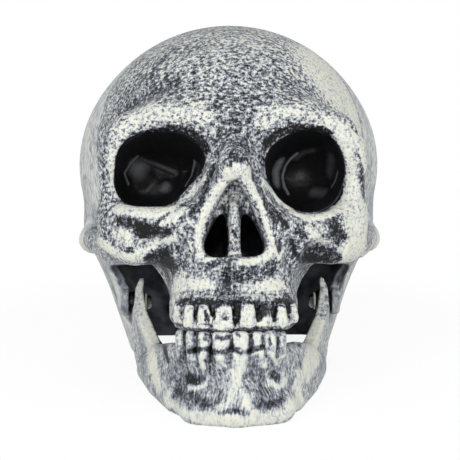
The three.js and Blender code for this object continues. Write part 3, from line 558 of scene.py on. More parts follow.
# %% Marks on the face
FACE_MARKS = {
    "left brow": (5.4, 0.5, 0.35, [(114, 146), (120, 131), (134, 119), (150, 115), (170, 113), (192, 113),
                                   (207, 117)]),
    "left brow, upper part": (4.5, 0.2, 0.15, [(140, 113), (165, 107), (190, 105), (208, 109)]),
    "left outer rim": (2.6, 0.3, 0.8, [(112, 154), (113, 170), (116, 184), (119, 196)]),
    "left socket's roof": (2.6, -0.3, -1.6, [(140, 136), (152, 133), (165, 130), (178, 130), (190, 133),
                                             (200, 140), (206, 149)]),
    "right socket's roof": (2.4, -0.3, -1.6, [(267, 143), (276, 135), (288, 130), (302, 128), (318, 129),
                                              (329, 134)]),
    "left lower rim": (4.2, 0.6, 0.85, [(119, 208), (135, 211), (152, 213), (168, 210)]),
    "left inner rim": (2.4, 0.4, 0.7, [(168, 210), (181, 203), (194, 192), (205, 177)]),
    "left lower fold": (2.6, 0.6, 0.7, [(163, 222), (174, 218), (183, 210)]),
    "left lower crease": (1.4, -0.5, -0.9, [(158, 222), (165, 216), (172, 209)]),
    "right brow": (4.6, 0.5, 0.4, [(262, 122), (273, 114), (290, 110), (307, 112), (320, 118), (333, 127),
                                   (344, 138)]),
    "right outer rim": (4.2, 0.4, 0.8, [(344, 138), (351, 152), (354, 168), (354, 184), (350, 197)]),
    "right temple line": (2.2, 0.5, 0.6, [(331, 119), (349, 130), (361, 148), (367, 171), (371, 194),
                                          (372, 212)]),
    "right temple groove": (3.0, -0.4, -0.6, [(355, 153), (360, 170), (362, 184), (367, 206)]),
    "right lower rim": (3.0, 0.6, 0.85, [(264, 183), (274, 194), (284, 206), (296, 214), (310, 218),
                                         (326, 216), (341, 206)]),
    "right lower corner": (5.5, 0.3, 0.6, [(343, 204), (353, 190)]),
    "nose cap": (4.0, 0.4, 0.9, [(230, 177), (236, 171), (242, 170), (248, 176)]),
    "nose, left leg": (2.3, 0.6, 0.9, [(222, 186), (214, 197), (207, 208), (202, 220), (199, 232),
                                       (198, 243), (200, 254)]),
    "nose, right leg": (1.7, 0.6, 0.9, [(252, 185), (257, 196), (262, 208), (265, 220), (269, 232),
                                        (272, 243), (272, 250)]),
    "nose, lower right": (2.2, 0.4, 0.8, [(268, 253), (260, 259), (250, 262), (242, 261)]),
    "nose, lower lip": (0.9, 0.4, 1.0, [(206, 261), (213, 258), (220, 256), (230, 253), (242, 253),
                                        (251, 257)]),
    "under the lip": (2.2, -0.3, -0.5, [(207, 265), (219, 262), (229, 261), (228, 268)]),
    "beside the nose, left": (3.0, -0.5, -0.55, [(212, 170), (206, 186), (200, 200), (192, 214)]),
    "beside the nose, right": (2.6, -0.5, -0.6, [(253, 176), (261, 192), (268, 208), (274, 222)]),
    "septum": (3.0, 0, -0.1, [(237, 206), (236, 218), (235, 232), (234, 250)]),
    "nose, back wall": (5.0, 0, 0.65, [(236, 188), (229, 200), (244, 200)]),
    "nose, inner left": (2.8, 0, 0.6, [(222, 202), (217, 212)]),
    "nose, inner right": (2.8, 0, 0.6, [(250, 203), (255, 213)]),
    "septum's dark fleck": (1.1, -0.4, -1.2, [(233, 231), (236, 237)]),
    "left cheek, first hollow": (3.6, -0.9, -0.6, [(120, 222), (132, 222), (142, 224)]),
    "left cheek, second hollow": (3.8, -1.0, -0.9, [(138, 232), (152, 231), (166, 233)]),
    "left cheek, pale patch": (5.5, 0.2, 0.6, [(120, 234), (128, 238)]),
    "left cheek, spot": (2.0, -0.5, -0.8, [(129, 250)]),
    "left cheek ridge": (2.6, 0.8, 0.75, [(139, 254), (152, 249), (164, 242), (174, 237)]),
    "left cheek edge": (3.6, 0.4, 0.7, [(98, 240), (110, 250), (124, 257), (141, 261)]),
    # Under the left cheek the darker paint is painted shade as well as what the brush skipped.
    "under the left cheek": (6.0, -1.2, -1.0, [(150, 262), (160, 256), (168, 264)]),
    "right cheek, upper hollow": (4.2, -0.9, -0.8, [(331, 223), (337, 230), (341, 239)]),
    "right cheek, spots": (3.0, -0.8, -0.8, [(298, 229), (304, 234)]),
    "right cheek crease": (1.6, -0.7, -0.9, [(275, 209), (280, 218), (287, 226)]),
    "right cheek second crease": (1.4, -0.6, -0.8, [(291, 241), (294, 250), (298, 258)]),
    "right cheek fold": (2.2, 0.6, 0.5, [(291, 225), (307, 230), (315, 236), (324, 242)]),
    "right cheek, lower hollow": (6.5, -1.2, -0.85, [(308, 256), (320, 254), (332, 258)]),
    "right cheek end": (4.4, 0.5, 0.8, [(346, 251), (350, 262)]),
    "right cheek edge": (3.0, 0.4, 0.5, [(376, 238), (368, 252), (356, 262)]),
    "left buttress": (3.4, 0, -0.6, [(160, 262), (166, 272), (170, 284)]),
    "right buttress": (3.0, 0, -0.3, [(307, 270), (304, 282)]),
    "small hole": (1.7, -1.0, -0.7, [(279, 243), (279, 251)]),
    "small hole's rim": (1.1, 0.4, 0.5, [(275, 247), (279, 258), (284, 250)]),
    "left bone over the teeth": (6.5, 0.7, 0.7, [(178, 288), (189, 288), (204, 286)]),
    "right bone over the teeth": (6.0, 0.7, 0.7, [(250, 291), (262, 286), (276, 287)]),
    "grey under the nose": (6.0, -0.6, -0.45, [(243, 274), (256, 272), (268, 271)]),
    "dark line under the nose": (2.2, -0.5, -0.5, [(226, 264), (226, 276), (227, 288)]),
    "first slanting line": (1.3, 0.4, 0.6, [(280, 281), (286, 289), (292, 297)]),
    "left side of the upper jaw": (3.0, 0.3, 0.3, [(171, 282), (173, 300), (178, 318)]),
    "right side of the upper jaw": (2.6, 0.3, 0.35, [(304, 284), (303, 302), (299, 318)]),
    "dark gum, left": (2.4, -0.4, -0.7, [(195, 303), (202, 303), (210, 302), (217, 304)]),
    "dark gum over the third tooth": (1.6, -0.3, -0.8, [(220, 302), (231, 302)]),
    "dark gum over the front tooth": (1.4, -0.3, -0.6, [(244, 302), (256, 303)]),
    "dark gum, right": (1.6, -0.4, -0.8, [(280, 301), (289, 302), (296, 302)]),
    "dark gum, far left": (1.4, -0.3, -0.8, [(175, 304), (183, 301), (190, 299)]),
    "missing tooth": (2.7, -1.2, -2.2, [(237, 305), (238, 312)]),
    "missing tooth's foot": (1.6, -1.0, -2.2, [(236, 314), (235, 321)]),
    "dark tooth": (2.8, -0.4, -1.1, [(264, 306), (266, 311)]),
    "gap by the dark tooth": (1.5, -1.0, -2.2, [(259, 309), (260, 319)]),
    "gap, third from the right": (1.4, -1.0, -2.2, [(275, 304), (275, 314)]),
    "gap, second from the right": (1.0, -0.9, -2.2, [(288, 305), (289, 312)]),
    "gap, left of the middle": (1.2, -1.0, -2.4, [(213, 306), (214, 317)]),
    "gap, second on the left": (1.3, -0.9, -2.2, [(196, 306), (196, 316)]),
    "second tooth's hole": (1.1, -0.6, -1.6, [(206, 311), (208, 320)]),
    "third tooth's specks": (1.5, -0.3, -0.8, [(222, 317), (226, 319)]),
    "first tooth": (2.9, 0.3, 1.2, [(189, 309), (189, 320)]),
    "second tooth": (1.8, 0.3, 1.1, [(201, 312), (201, 321)]),
    "second tooth's edge": (1.1, 0.4, 1.6, [(207, 308), (210, 315), (212, 323)]),
    "third tooth": (1.9, 0.2, 0.9, [(222, 309), (218, 318)]),
    "third tooth's edge": (1.1, 0.3, 1.4, [(230, 308), (231, 322)]),
    "third tooth's foot": (1.7, 0.2, 1.2, [(216, 323), (229, 324)]),
    "front tooth": (3.6, 0.4, 1.3, [(250, 311), (249, 320)]),
    "front tooth's foot": (1.7, 0.2, 1.2, [(241, 323), (255, 322)]),
    "fifth tooth": (1.9, 0.4, 1.3, [(263, 321), (271, 320)]),
    "sixth tooth": (3.2, 0.4, 1.3, [(282, 314), (283, 320)]),
    "left end of the row": (2.4, 0.2, 0.6, [(175, 307), (178, 318)]),
    "last tooth": (3.0, 0.3, 1.1, [(295, 307), (297, 318)]),
    "upper teeth's edge": (1.2, 0.3, 1.0, [(174, 317), (185, 325), (204, 327), (226, 328), (247, 325),
                                           (269, 324), (285, 325), (294, 321), (300, 314)]),
    "dark brow middle": (8.0, 0, -0.25, [(234, 128), (236, 150)]),
    "nose root": (4.0, -0.4, -0.4, [(232, 158), (241, 158)]),
    "low forehead, left": (11.0, 0, -0.2, [(128, 98), (145, 88), (165, 86)]),
    "low forehead, middle": (10.0, 0, -0.14, [(215, 100), (240, 104)]),
    "high forehead": (13.0, 0, 0.12, [(190, 48), (225, 45), (260, 50)]),
    # These right forehead and temple marks are paler paint that is partly painted light, for the brighter
    # light on that side of the head.
    "right forehead": (20.0, 0, 0.45, [(324, 70), (340, 96), (352, 120)]),
    "right forehead, wide": (38.0, 0, 0.5, [(338, 84), (352, 116)]),
    "right temple": (12.0, 0, 0.45, [(364, 140), (370, 166), (372, 190)]),
    "forehead scratch": (1.3, -0.2, -0.7, [(151, 78), (155, 68), (164, 58), (173, 50)]),
    "crown": (14.0, 0, 0.1, [(200, 34), (230, 32), (262, 35)]),
    # The right cheek's paler paint is partly painted light, for the brighter light on that side.
    "right cheek": (14.0, 0, 0.9, [(362, 216), (362, 232), (360, 244)]),
    "left temple": (12.0, 0, 0.05, [(104, 165), (104, 188), (106, 210)]),
    "under the nose": (9.0, 0, 0.1, [(240, 268), (256, 272), (266, 276)]),
    "left upper jaw": (9.0, 0, 0.1, [(182, 242), (184, 260), (186, 272)]),
    "right upper jaw": (7.0, 0, 0.12, [(285, 246), (286, 262), (286, 272)]),
}

# %% Laying the relief
Mark = namedtuple("Mark", "places radius paint")
LIFT_SHARE = 0.8  # how much of a mark's lift is laid


def lay(clay, marks, front=FRONT):
    """Presses the marks into the clay and returns them as places on it."""
    smooth = clay.copy()
    laid = []
    for radius, lift, paint, spots in marks.values():
        places = seen(smooth, along(spots), front)
        if lift:
            clay.press(places, radius, lift * LIFT_SHARE)
        laid.append(Mark(places, radius, paint))
    return laid


face_marks = lay(face, FACE_MARKS)
face_whole = face.copy()
print(len(face_marks), "marks on the face")

# %% [markdown]
# ## Eye sockets
#
# The black cups that line the sockets are pieces of their own behind the bone's edge. A socket is an
# outline that leans inwards and narrows on its way back, and the bone is cut by the same form, grown by
# the cup's wall and its clearance. Bone and socket could be one piece with two paints, but then the
# crisp edge between them would hang on the paint alone.

# %% The socket's form
SOCKETS = {
    "left_socket_cup": rounded([(-53, 28), (-49.5, 35), (-41, 39.5), (-25, 39.5), (-15, 33), (-12.5, 27),
                                (-17, 19), (-29, 7.5), (-46, 8), (-53, 15)]),
    "right_socket_cup": rounded([(14, 27), (19, 35), (31, 41), (42, 39.5), (49, 32), (51, 22), (46, 10),
                                 (34, 4), (22, 8), (15.5, 17)]),
}
CUP_WALL, CLEARANCE, CORNER = 1.6, 0.3, 6.0
SOCKET_END, SOCKET_FRONT = -25.8, -91.2
RIM_FRONT, RIM_SWEEP = -67.1, 0.0062
TURN, TAPER, ROUNDING = 0.1, 0.06, 0.00553  # how a socket leans inwards and narrows on its way back


def rim_at(x):
    """How far back the rims stand: they sweep back from the nose to the sides of the face."""
    return RIM_FRONT + RIM_SWEEP * x * x


def socket(spots, grow, recess=None):
    """A socket's hollow, grown by a wall; with a recess, only what lies that far behind the rims."""
    middle = np.mean(spots, 0)
    inner = [tuple(middle + (spot - middle) * (1 - CORNER / np.linalg.norm(spot - middle)))
             for spot in np.array(spots, float)]

    def depth(x, y, z):
        back = np.maximum(y - rim_at(x), 0)
        turned = x + np.sign(middle[0]) * TURN * back
        side = outline_depth(inner, turned, z) - CORNER + TAPER * back + ROUNDING * back * back
        closed = soft_max(side, y - SOCKET_END, 10) - grow
        return np.maximum(closed, (SOCKET_FRONT if recess is None else rim_at(x) + recess) - y)

    (x0, z0), (x1, z1) = np.min(spots, 0), np.max(spots, 0)
    return Form(depth, (x0 - 4, -92, z0 - 4), (x1 + 4, -24, z1 + 4))


for name, spots in SOCKETS.items():
    print(name, "is", round(float(np.ptp(spots, 0)[0])), "mm wide at its rim")

# %% [markdown]
# ## Cutting the mouldings
#
# What is inside comes after what shows: the hollow, the four screw bosses, the seam, the open underside,
# the table's cut, the sockets and two nostrils right through. Boolean modifiers could make these cuts in
# meshes, but between two grids of distances a cut only takes the greater of the two at each point.

# %% The seam
KERF = 0.3
SEAM_FRONT, SEAM_HEIGHT, SEAM_CURVE = -22, 45, 83  # its foremost place, how high that is, and its radius
SEAM_BOW, SEAM_FOOT = 14, -3.2  # how far back it goes below, and where it is upright from there down


def seam_at(z):
    back = (z - SEAM_HEIGHT) ** 2 / (2 * SEAM_CURVE)
    return SEAM_FRONT + np.where(z < SEAM_HEIGHT, np.minimum(back, SEAM_BOW), back)


def keep_side(clay, side):
    """Keeps what lies in front of the seam, side -1, or behind it, side 1."""
    x, y, z = clay.everywhere()
    slope = np.sqrt(1 + np.where(z > SEAM_FOOT, (z - SEAM_HEIGHT) / SEAM_CURVE, 0) ** 2)
    beyond = side * (seam_at(z) - y) / slope + KERF / 2 + 0 * x
    clay.depth = np.maximum(clay.depth, beyond)


print("At the crown the seam lies", round(-float(seam_at(102))), "mm before the middle of the head")

# %% Bosses for the four screws
BOSSES = [(-30, 87.3), (30, 87.3), (-54, 30.1), (54, 30.1)]
BOSS_RADIUS, BORE_RADIUS, WEB_RADIUS = 4.6, 1.7, 2.3


def add_bosses(clay, outside, side):
    """Adds bored bosses at the seam, each with a web to the wall, on the moulding's own side of it."""
    for x, z in BOSSES:
        y = float(seam_at(z))
        boss = bar(1, (x, y, z), BOSS_RADIUS, y - 10, y + 5)
        spreads = [1 + out / math.hypot(x, z) for out in (0, 8, 14)]
        web = limb(*[(x * spread, y + 2.5 * side, z * spread, WEB_RADIUS) for spread in spreads])
        window = clay.window((x - 22, y - 14, z - 22), (x + 22, y + 9, z + 22))
        place = clay.places(window)
        lump = np.minimum(boss.depth(*place), web.depth(*place))
        bore = bar(1, (x, y, z), BORE_RADIUS, y - 7, y + 7).depth(*place)
        lump = np.maximum(lump, outside[window] + 0.4)
        clay.depth[window] = np.maximum(np.minimum(clay.depth[window], lump), -bore)


print(len(BOSSES), "bosses, with bores of", 2 * BORE_RADIUS, "mm")

# %% All cuts of one head moulding
UNDERSIDE = [(-44, -15), (12, -15), (13.8, -31), (20.6, -60), (20.6, -116), (-44, -116)]


def cut_at_table(clay):
    x, y, z = clay.everywhere()
    clay.depth = np.maximum(clay.depth, -(lean_back(y, z)[1] + SHIFT[1]) + 0 * x)


def finish_moulding(clay, side):
    """Cuts one moulding out of the head: with side -1 the face's, and with side 1 the rear's."""
    outside = clay.depth.copy()
    hollow_out(clay)
    add_bosses(clay, outside, side)
    keep_side(clay, side)
    clay.carve(across(UNDERSIDE))
    cut_at_table(clay)


# %% The face's moulding, cut
finish_moulding(face, -1)
for spots in SOCKETS.values():
    face.carve(socket(spots, -0.3), 0.8)
    face.carve(socket(spots, CUP_WALL + CLEARANCE, 0.7))
for spots in NOSTRILS:
    face.carve(backwards(spots, BEFORE_FACE, -50), 1.2)
print("The face's walls fill", round(100 * float((face.depth < 0).mean()), 1), "percent of its grid")

# %% [markdown]
# ## The rear moulding
#
# It is the same head, kept behind the seam and open below, and two ears inside it carry the jaw's pivots.
# The ears could be pieces that are screwed in. They grow out of the wall here, as in one moulding. The
# cheekbones end on it, so it gets their arches before it is cut. Its marks are paint alone: pale edges
# beside the jaw, and on each side a black wedge of painted shadow, for the dark stripe of shade that the
# photograph shows there.

# %% The rear as solid clay
rear = Clay(
    lines(-78, 78, 1.4, (-57, -44, 0.8), (44, 57, 0.8)),
    lines(-27, 110, 1.4, (-4, 14, 0.8)),
    lines(-74, 106, 1.4, (-43, -23, 0.8)),
)
head_core(rear)
rear.add(limb(*RIDGES["cheek"][1]), 8)
rear.add(flipped(limb(*RIDGES["cheek"][1])), 8)
print("The rear's grid has", rear.depth.size, "points")

# %% Marks on the rear
# The two dark wedges are painted shadow: black paint for the shade in the gap beside the jaw.
REAR_MARKS = {
    "left skirt, pale": (3.0, 0, 0.4, [(112, 276), (117, 290), (120, 304)]),
    "left skirt, painted shadow": (2.6, 0, -1.7, [(116, 269), (121, 280), (127, 292)]),
    "left skirt, fleck": (1.6, 0, -0.8, [(113, 288), (116, 296)]),
    "left skirt, end": (3.0, 0, 0.4, [(124, 318), (130, 327)]),
    "right skirt, pale": (3.0, 0, 0.4, [(346, 276), (342, 292), (338, 308)]),
    "right skirt, painted shadow": (2.3, 0, -1.5, [(347, 270), (342, 283), (337, 297)]),
    "right skirt, fleck": (1.6, 0, -0.8, [(344, 282), (341, 296)]),
}
rear_marks = lay(rear, REAR_MARKS)
rear_whole = rear.copy()
print(len(rear_marks), "marks on the rear")

# %% The rear's moulding, cut, with the ears that carry the jaw
finish_moulding(rear, 1)
EAR_FACE, EAR_THICKNESS, EAR_RADIUS, EAR_HALF_FOOT = 49.55, 4, 6.4, 10.3
PIVOT_BORE = 1.9
ear = bar(0, (0, *PIVOT), EAR_RADIUS, EAR_FACE, EAR_FACE + EAR_THICKNESS)
foot = block((EAR_FACE + EAR_THICKNESS / 2, PIVOT[0] + EAR_HALF_FOOT, PIVOT[1]),
             (EAR_THICKNESS / 2, EAR_HALF_FOOT, EAR_RADIUS), 12.0)
ear_bore = bar(0, (0, *PIVOT), PIVOT_BORE, EAR_FACE - 2, EAR_FACE + 3.2)
for form in (ear, foot, flipped(ear), flipped(foot)):
    rear.add(form)
for form in (ear_bore, flipped(ear_bore)):
    rear.carve(form)
print("The ears stand", 2 * EAR_FACE, "mm apart")

# %% [markdown]
# ## The lower jaw
#
# The jaw is an arch of three chains of limbs, stacked from the chin's edge to the gum, with an upright
# branch on each side that ends in a spike in front and a round knuckle at the pivot. It is open inside
# the arch and behind, like a horseshoe. A branch is thin and nearly flat, so it is an outline seen from
# the side, bent to the arch, and not a limb.

# %% The jaw's form
JAW_CHAINS = [
    [(0, -73, -82, 7.5), (14, -70, -82, 7.5), (25, -57, -79, 6.5), (34, -35, -73, 5.5), (40, -12, -66, 5.2)],
    [(0, -74, -70, 6), (14, -71, -70, 6), (25, -58, -69, 6), (34, -40, -66, 5.5), (39, -20, -62, 5)],
    [(0, -76, -60, 6), (12, -74, -60, 6), (21, -65, -60, 5.5), (27, -52, -59, 5.5), (33, -38, -59, 5)],
]
BRANCH = [(-23, -20), (-24, -30), (-27.5, -41), (-33, -52), (-44, -60), (-44, -76), (-20, -75), (-6, -71),
          (1, -61), (5, -50), (8, -40), (8.6, -33), (4, -28), (0, -34), (-6, -38.5), (-15, -34), (-21, -25)]
SPIKE_TOP, SHORT_SPIKE_TOP = -16.0, -22.5
BRANCH_MIDDLE, BRANCH_HALF, BRANCH_BACK = 46.5, 2.7, 8.1
BRANCH_FLARE, WIDTH_TO_LENGTH = 0.41, 0.872  # their product is how fast its foot turns inwards
JAW_HOLLOW = dict(middle=0.0, foot=(33.0, 72.0), top=(25.0, 68.0), low=-116.0, high=-50.0, squareness=2.4)


def branch(top=SPIKE_TOP):
    """One upright branch; below, it turns in to meet the arch, and its spike is thinner."""

    def depth(x, y, z):
        turn = BRANCH_FLARE * np.clip((-28 - z) / 34, 0, 1) * WIDTH_TO_LENGTH
        spike = np.clip((z + 38) / 17, 0, 1) * np.clip((-8 - y) / 6, 0, 1)
        middle = BRANCH_MIDDLE - turn * (BRANCH_BACK - y) - 4.8 * spike
        beside = np.abs(x - middle) / np.sqrt(1 + turn ** 2) - BRANCH_HALF + 1.7 * spike
        return np.maximum(np.maximum(outline_depth(BRANCH, y, z) + 0.4, beside), z - top)

    return Form(depth, (20, -45, -77), (50, 10, SPIKE_TOP))


jaw = Clay(
    lines(-56, 56, 0.85, (-32, 32, 0.62)),
    lines(-92, 18, 0.85, (-92, -60, 0.66)),
    lines(-98, -11, 0.85, (-66, -44, 0.6)),
)
for chain in JAW_CHAINS:
    jaw.add(limb(*chain), 6)
    jaw.add(flipped(limb(*chain)), 6)
jaw.add(ball((1, -77.6, -80), (12, 6, 9)), 6)
for x in (18, -16):
    jaw.add(ball((x, -71, -82), (8, 7, 7)), 6)
    jaw.add(ball((x * 0.6, -74.5, -82), (5.5, 5.5, 6.5)), 5)
jaw.carve(ball((-18, -80, -70), (6, 5, 4.5)), 4)
jaw.carve(ball((18, -80, -69), (5, 5, 4)), 4)
jaw.add(branch(SHORT_SPIKE_TOP), 1.5)
jaw.add(flipped(branch()), 1.5)
set_teeth(jaw, LOWER_TEETH, LOWER_ARCH, LOWER_NECK)
print("The jaw's grid has", jaw.depth.size, "points")

# %% Marks on the jaw
JAW_MARKS = {
    "first ridges": (1.6, 0.5, 0.5, [(180, 330), (180, 344)]),
    "second ridges": (1.5, 0.5, 0.6, [(190, 332), (191, 348)]),
    "second tooth": (2.6, 0.3, 0.6, [(204, 334), (204, 344)]),
    "second tooth's middle": (1.2, -0.4, -1.2, [(206, 335), (205, 339)]),
    "left front tooth": (3.4, 0.3, 0.6, [(217, 334), (227, 334), (222, 344)]),
    "left front tooth's middle": (1.4, -0.5, -1.5, [(217, 337), (222, 339), (227, 337)]),
    "right front tooth": (3.2, 0.3, 0.6, [(237, 334), (245, 334), (242, 345)]),
    "right front tooth's middle": (1.2, -0.5, -1.4, [(237, 334), (240, 336)]),
    "fifth lower tooth": (2.2, 0.3, 0.5, [(256, 336), (258, 344)]),
    "sixth lower tooth": (1.5, 0.4, 0.6, [(266, 337), (266, 344)]),
    "seventh lower tooth": (1.4, 0.4, 0.6, [(273, 337), (274, 344)]),
    "eighth lower tooth": (1.3, 0.4, 0.6, [(281, 338), (281, 345)]),
    "lower gap, first": (1.1, -0.7, -0.9, [(185, 331), (186, 346)]),
    "lower gap, second": (1.2, -0.8, -0.95, [(197, 333), (197, 348)]),
    "lower gap, third": (1.2, -0.8, -0.95, [(212, 334), (212, 347)]),
    "lower gap, middle": (1.2, -0.8, -0.95, [(232, 334), (232, 346)]),
    "lower gap, fifth": (1.4, -0.8, -0.95, [(251, 336), (252, 347)]),
    "lower gap, sixth": (1.0, -0.6, -0.8, [(262, 336), (262, 345)]),
    "lower gap, seventh": (1.0, -0.6, -0.8, [(270, 337), (270, 345)]),
    "lower gap, last": (1.0, -0.6, -0.8, [(277, 338), (277, 345)]),
    "lower gum": (1.6, -0.7, -1.0, [(186, 352), (196, 350), (208, 349), (217, 353), (225, 352), (232, 348),
                                    (243, 353), (250, 351), (254, 349), (264, 347)]),
    "first root": (2.0, 0.7, 0.5, [(192, 356), (193, 364)]),
    "second root": (1.8, 0.7, 0.7, [(204, 353), (201, 360), (203, 367)]),
    "third root": (2.2, 0.6, 0.45, [(219, 356), (220, 366)]),
    "fourth root": (2.6, 0.5, 0.55, [(246, 354), (243, 366), (237, 376)]),
    "fifth root": (1.8, 0.5, 0.5, [(262, 354), (265, 366)]),
    "sixth root": (1.6, 0.7, 0.7, [(272, 354), (276, 364), (282, 356)]),
    "between the roots, left": (2.2, -0.7, -0.2, [(212, 357), (212, 370)]),
    "between the roots, middle": (2.2, -0.7, -0.2, [(231, 358), (230, 366)]),
    "between the roots, right": (2.2, -0.6, -0.15, [(254, 358), (254, 376)]),
    "left chin hollow": (3.2, -0.9, -0.7, [(190, 379), (200, 381)]),
    "left chin hollow's lip": (2.0, 0.7, 0.7, [(190, 387), (198, 388), (205, 384)]),
    "right chin hollow": (2.6, -0.9, -0.65, [(274, 375), (278, 380)]),
    "right chin hollow's lip": (2.2, 0.7, 0.7, [(270, 383), (277, 386), (285, 381)]),
    "chin ridge": (3.0, 0.8, 0.4, [(238, 356), (238, 372), (233, 388), (229, 400), (222, 407)]),
    "chin ridge, right fork": (2.4, 0.8, 0.4, [(243, 392), (247, 402), (254, 411)]),
    "left swoop": (4.4, -0.9, -0.4, [(176, 394), (186, 402), (198, 403)]),
    "left swoop's end": (3.0, -0.6, -0.3, [(204, 403), (216, 401), (224, 396)]),
    "right swoop": (3.6, -0.8, -0.3, [(256, 403), (268, 408), (281, 403)]),
    "chin edge": (5.0, 0.2, 0.65, [(168, 398), (182, 410), (198, 417), (232, 421), (262, 420), (284, 414),
                                   (300, 402)]),
    "chin feathers": (1.6, -0.2, -0.8, [(220, 413), (232, 411), (247, 414)]),
    "left grey field": (8.0, 0, -0.35, [(176, 366), (184, 384)]),
    "right grey field": (6.0, 0, -0.2, [(262, 388), (272, 396)]),
    "left branch": (5.5, 0.3, 0.65, [(146, 326), (150, 352), (154, 372), (158, 384)]),
    "left branch's inner edge": (1.5, -0.3, -1.4, [(157, 326), (161, 338), (165, 350), (168, 361)]),
    "right branch's inner edge": (1.2, -0.2, -1.2, [(309, 324), (303, 338), (299, 346)]),
    "left branch's edge": (4.0, -0.2, -0.35, [(137, 325), (141, 345), (144, 362)]),
    "left spike": (2.4, 0.2, 0.6, [(142, 286), (146, 304), (152, 322)]),
    # The right branch's paler paint is partly painted light, for the brighter light on that side.
    "right branch": (7.0, 0.3, 1.0, [(318, 330), (314, 352), (308, 370)]),
    "right branch, low": (5.0, 0.3, 0.5, [(300, 378), (296, 390)]),
    "right branch's edge": (3.4, -0.3, -0.2, [(326, 338), (324, 352), (321, 364)]),
    "right spike": (2.4, 0.2, 0.6, [(320, 296), (312, 314), (304, 332)]),
    "small arc": (0.9, -0.4, -0.9, [(150, 378), (151, 375), (155, 374)]),
}
jaw_marks = lay(jaw, JAW_MARKS)
jaw_whole = jaw.copy()
print(len(jaw_marks), "marks on the jaw")

# %% The jaw's hollow, its knuckles and its cut on the table
# The hollow also cuts the branches and the teeth, so both go back on whole.
KNUCKLE_IN, KNUCKLE_OUT, KNUCKLE_RADIUS = 41.95, 49.25, 5.2
jaw.carve(post(**JAW_HOLLOW), 1.0)
knuckle = bar(0, (0, *PIVOT), KNUCKLE_RADIUS, KNUCKLE_IN, KNUCKLE_OUT)
bore = bar(0, (0, *PIVOT), PIVOT_BORE, KNUCKLE_IN - 2, KNUCKLE_OUT + 2)
whole_branches = Clay(*jaw.lines)
whole_branches.add(branch(SHORT_SPIKE_TOP))
whole_branches.add(flipped(branch()))
jaw.depth = np.minimum(jaw.depth, whole_branches.depth)
set_teeth(jaw, LOWER_TEETH, LOWER_ARCH, LOWER_NECK)
for form in (knuckle, flipped(knuckle)):
    jaw.add(form)
for form in (bore, flipped(bore)):
    jaw.carve(form)
cut_at_table(jaw)
print("Between a knuckle and its ear are", round(EAR_FACE - KNUCKLE_OUT, 2), "mm")

# %% [markdown]
# ## The sculpted insides of the sockets
#
# The cups are glossy black and not empty: the left one holds a faceted lump and a curved step, the
# right one a shallow bowl with a raised crescent on each side. They could be small limbs and balls, but
# marks put them where the photograph has them. The sharp edges and facets get a paler paint: partly wear,
# and partly painted sheen and highlights on the gloss.

# %% Cups
# The paint of these marks is wear and painted sheen: paler grey where the glossy edges and facets would catch
# the light.
SOCKET_MARKS = {
    "left_socket_cup": {
        "lump": (9.0, 2.6, 0, [(146, 178), (156, 184)]),
        "lump's left edge": (1.3, 1.2, 0.45, [(128, 184), (124, 173), (130, 164), (137, 156)]),
        "lump's left face, painted sheen": (8.0, 0, 0.12, [(133, 166), (139, 168)]),
        "lump's top edge": (1.6, 1.0, 0.12, [(141, 158), (152, 163), (164, 168), (175, 173)]),
        "knob": (4.4, 2.2, 0.3, [(166, 187)]),
        "step": (1.2, 1.4, 0.45, [(195, 161), (194, 168), (192, 176), (186, 186)]),
        "behind the step": (4.0, -0.8, 0.05, [(198, 166), (196, 178)]),
        "second knob": (2.6, 0.8, 0.0, [(181, 164), (183, 173)]),
    },
    "right_socket_cup": {
        "left crescent": (5.0, 2.0, 0.34, [(279, 161), (274, 171), (275, 183)]),
        "left edge": (1.1, 1.3, 0.5, [(288, 194), (284, 186), (282, 177), (285, 166), (290, 159),
                                      (297, 153)]),
        "upper edge": (3.0, 0.8, 0.06, [(296, 158), (304, 152), (313, 150)]),
        "bowl": (12.0, -0.8, 0, [(306, 180), (314, 186)]),
        "right edge": (1.2, 1.0, 0.2, [(338, 172), (336, 180), (332, 187)]),
        "right crescent": (5.5, 1.2, 0.05, [(332, 158), (330, 172)]),
        "lower swell": (5.0, 1.2, 0.07, [(314, 192), (324, 194)]),
    },
}
CUP_GRID = 0.58
CUP_FRONT = -62.0  # where the lines of sight set out here
CUP_RECESS = 1.0  # how far a cup's edge lies behind the rims
cups = {}
for name, spots in SOCKETS.items():
    (x0, z0), (x1, z1) = np.min(spots, 0) - 8, np.max(spots, 0) + 8
    hollow = Clay(lines(x0, x1, CUP_GRID), lines(-70, -18, CUP_GRID), lines(z0, z1, CUP_GRID))
    hollow.add(socket(spots, 0))
    hollow.depth = -hollow.depth
    marks = lay(hollow, SOCKET_MARKS[name], CUP_FRONT)
    cup = Clay(*hollow.lines)
    cup.add(socket(spots, CUP_WALL))
    x, y, z = cup.everywhere()
    edge = rim_at(x) + CUP_RECESS - y + 0 * z
    cup.depth = np.maximum(np.maximum(cup.depth, hollow.depth), edge)
    cups[name] = (cup, marks)
    print(name, "has a grid of", cup.depth.size, "points")

# %% [markdown]
# ## Paint, point by point
#
# Each clay gets a skin, a mesh laid where its distance is zero. A point of the skin remembers how the
# brush treated it: how much paint, how streaky it is rather than stippled, whether the brush reached it,
# and how much it faces sideways, which turns the streaks. The paint could be an image, but a skin of this
# kind has no unwrapping. A dry brush skips what lies deep and catches what stands proud, and both can be
# read from the clay: just above a hollow the walls come near, and just under a ridge the far side does.

# %% Skins
OUTSIDE = 2.0  # a distance for the grid's own faces, so that no skin is left open there
SHOWN = {}


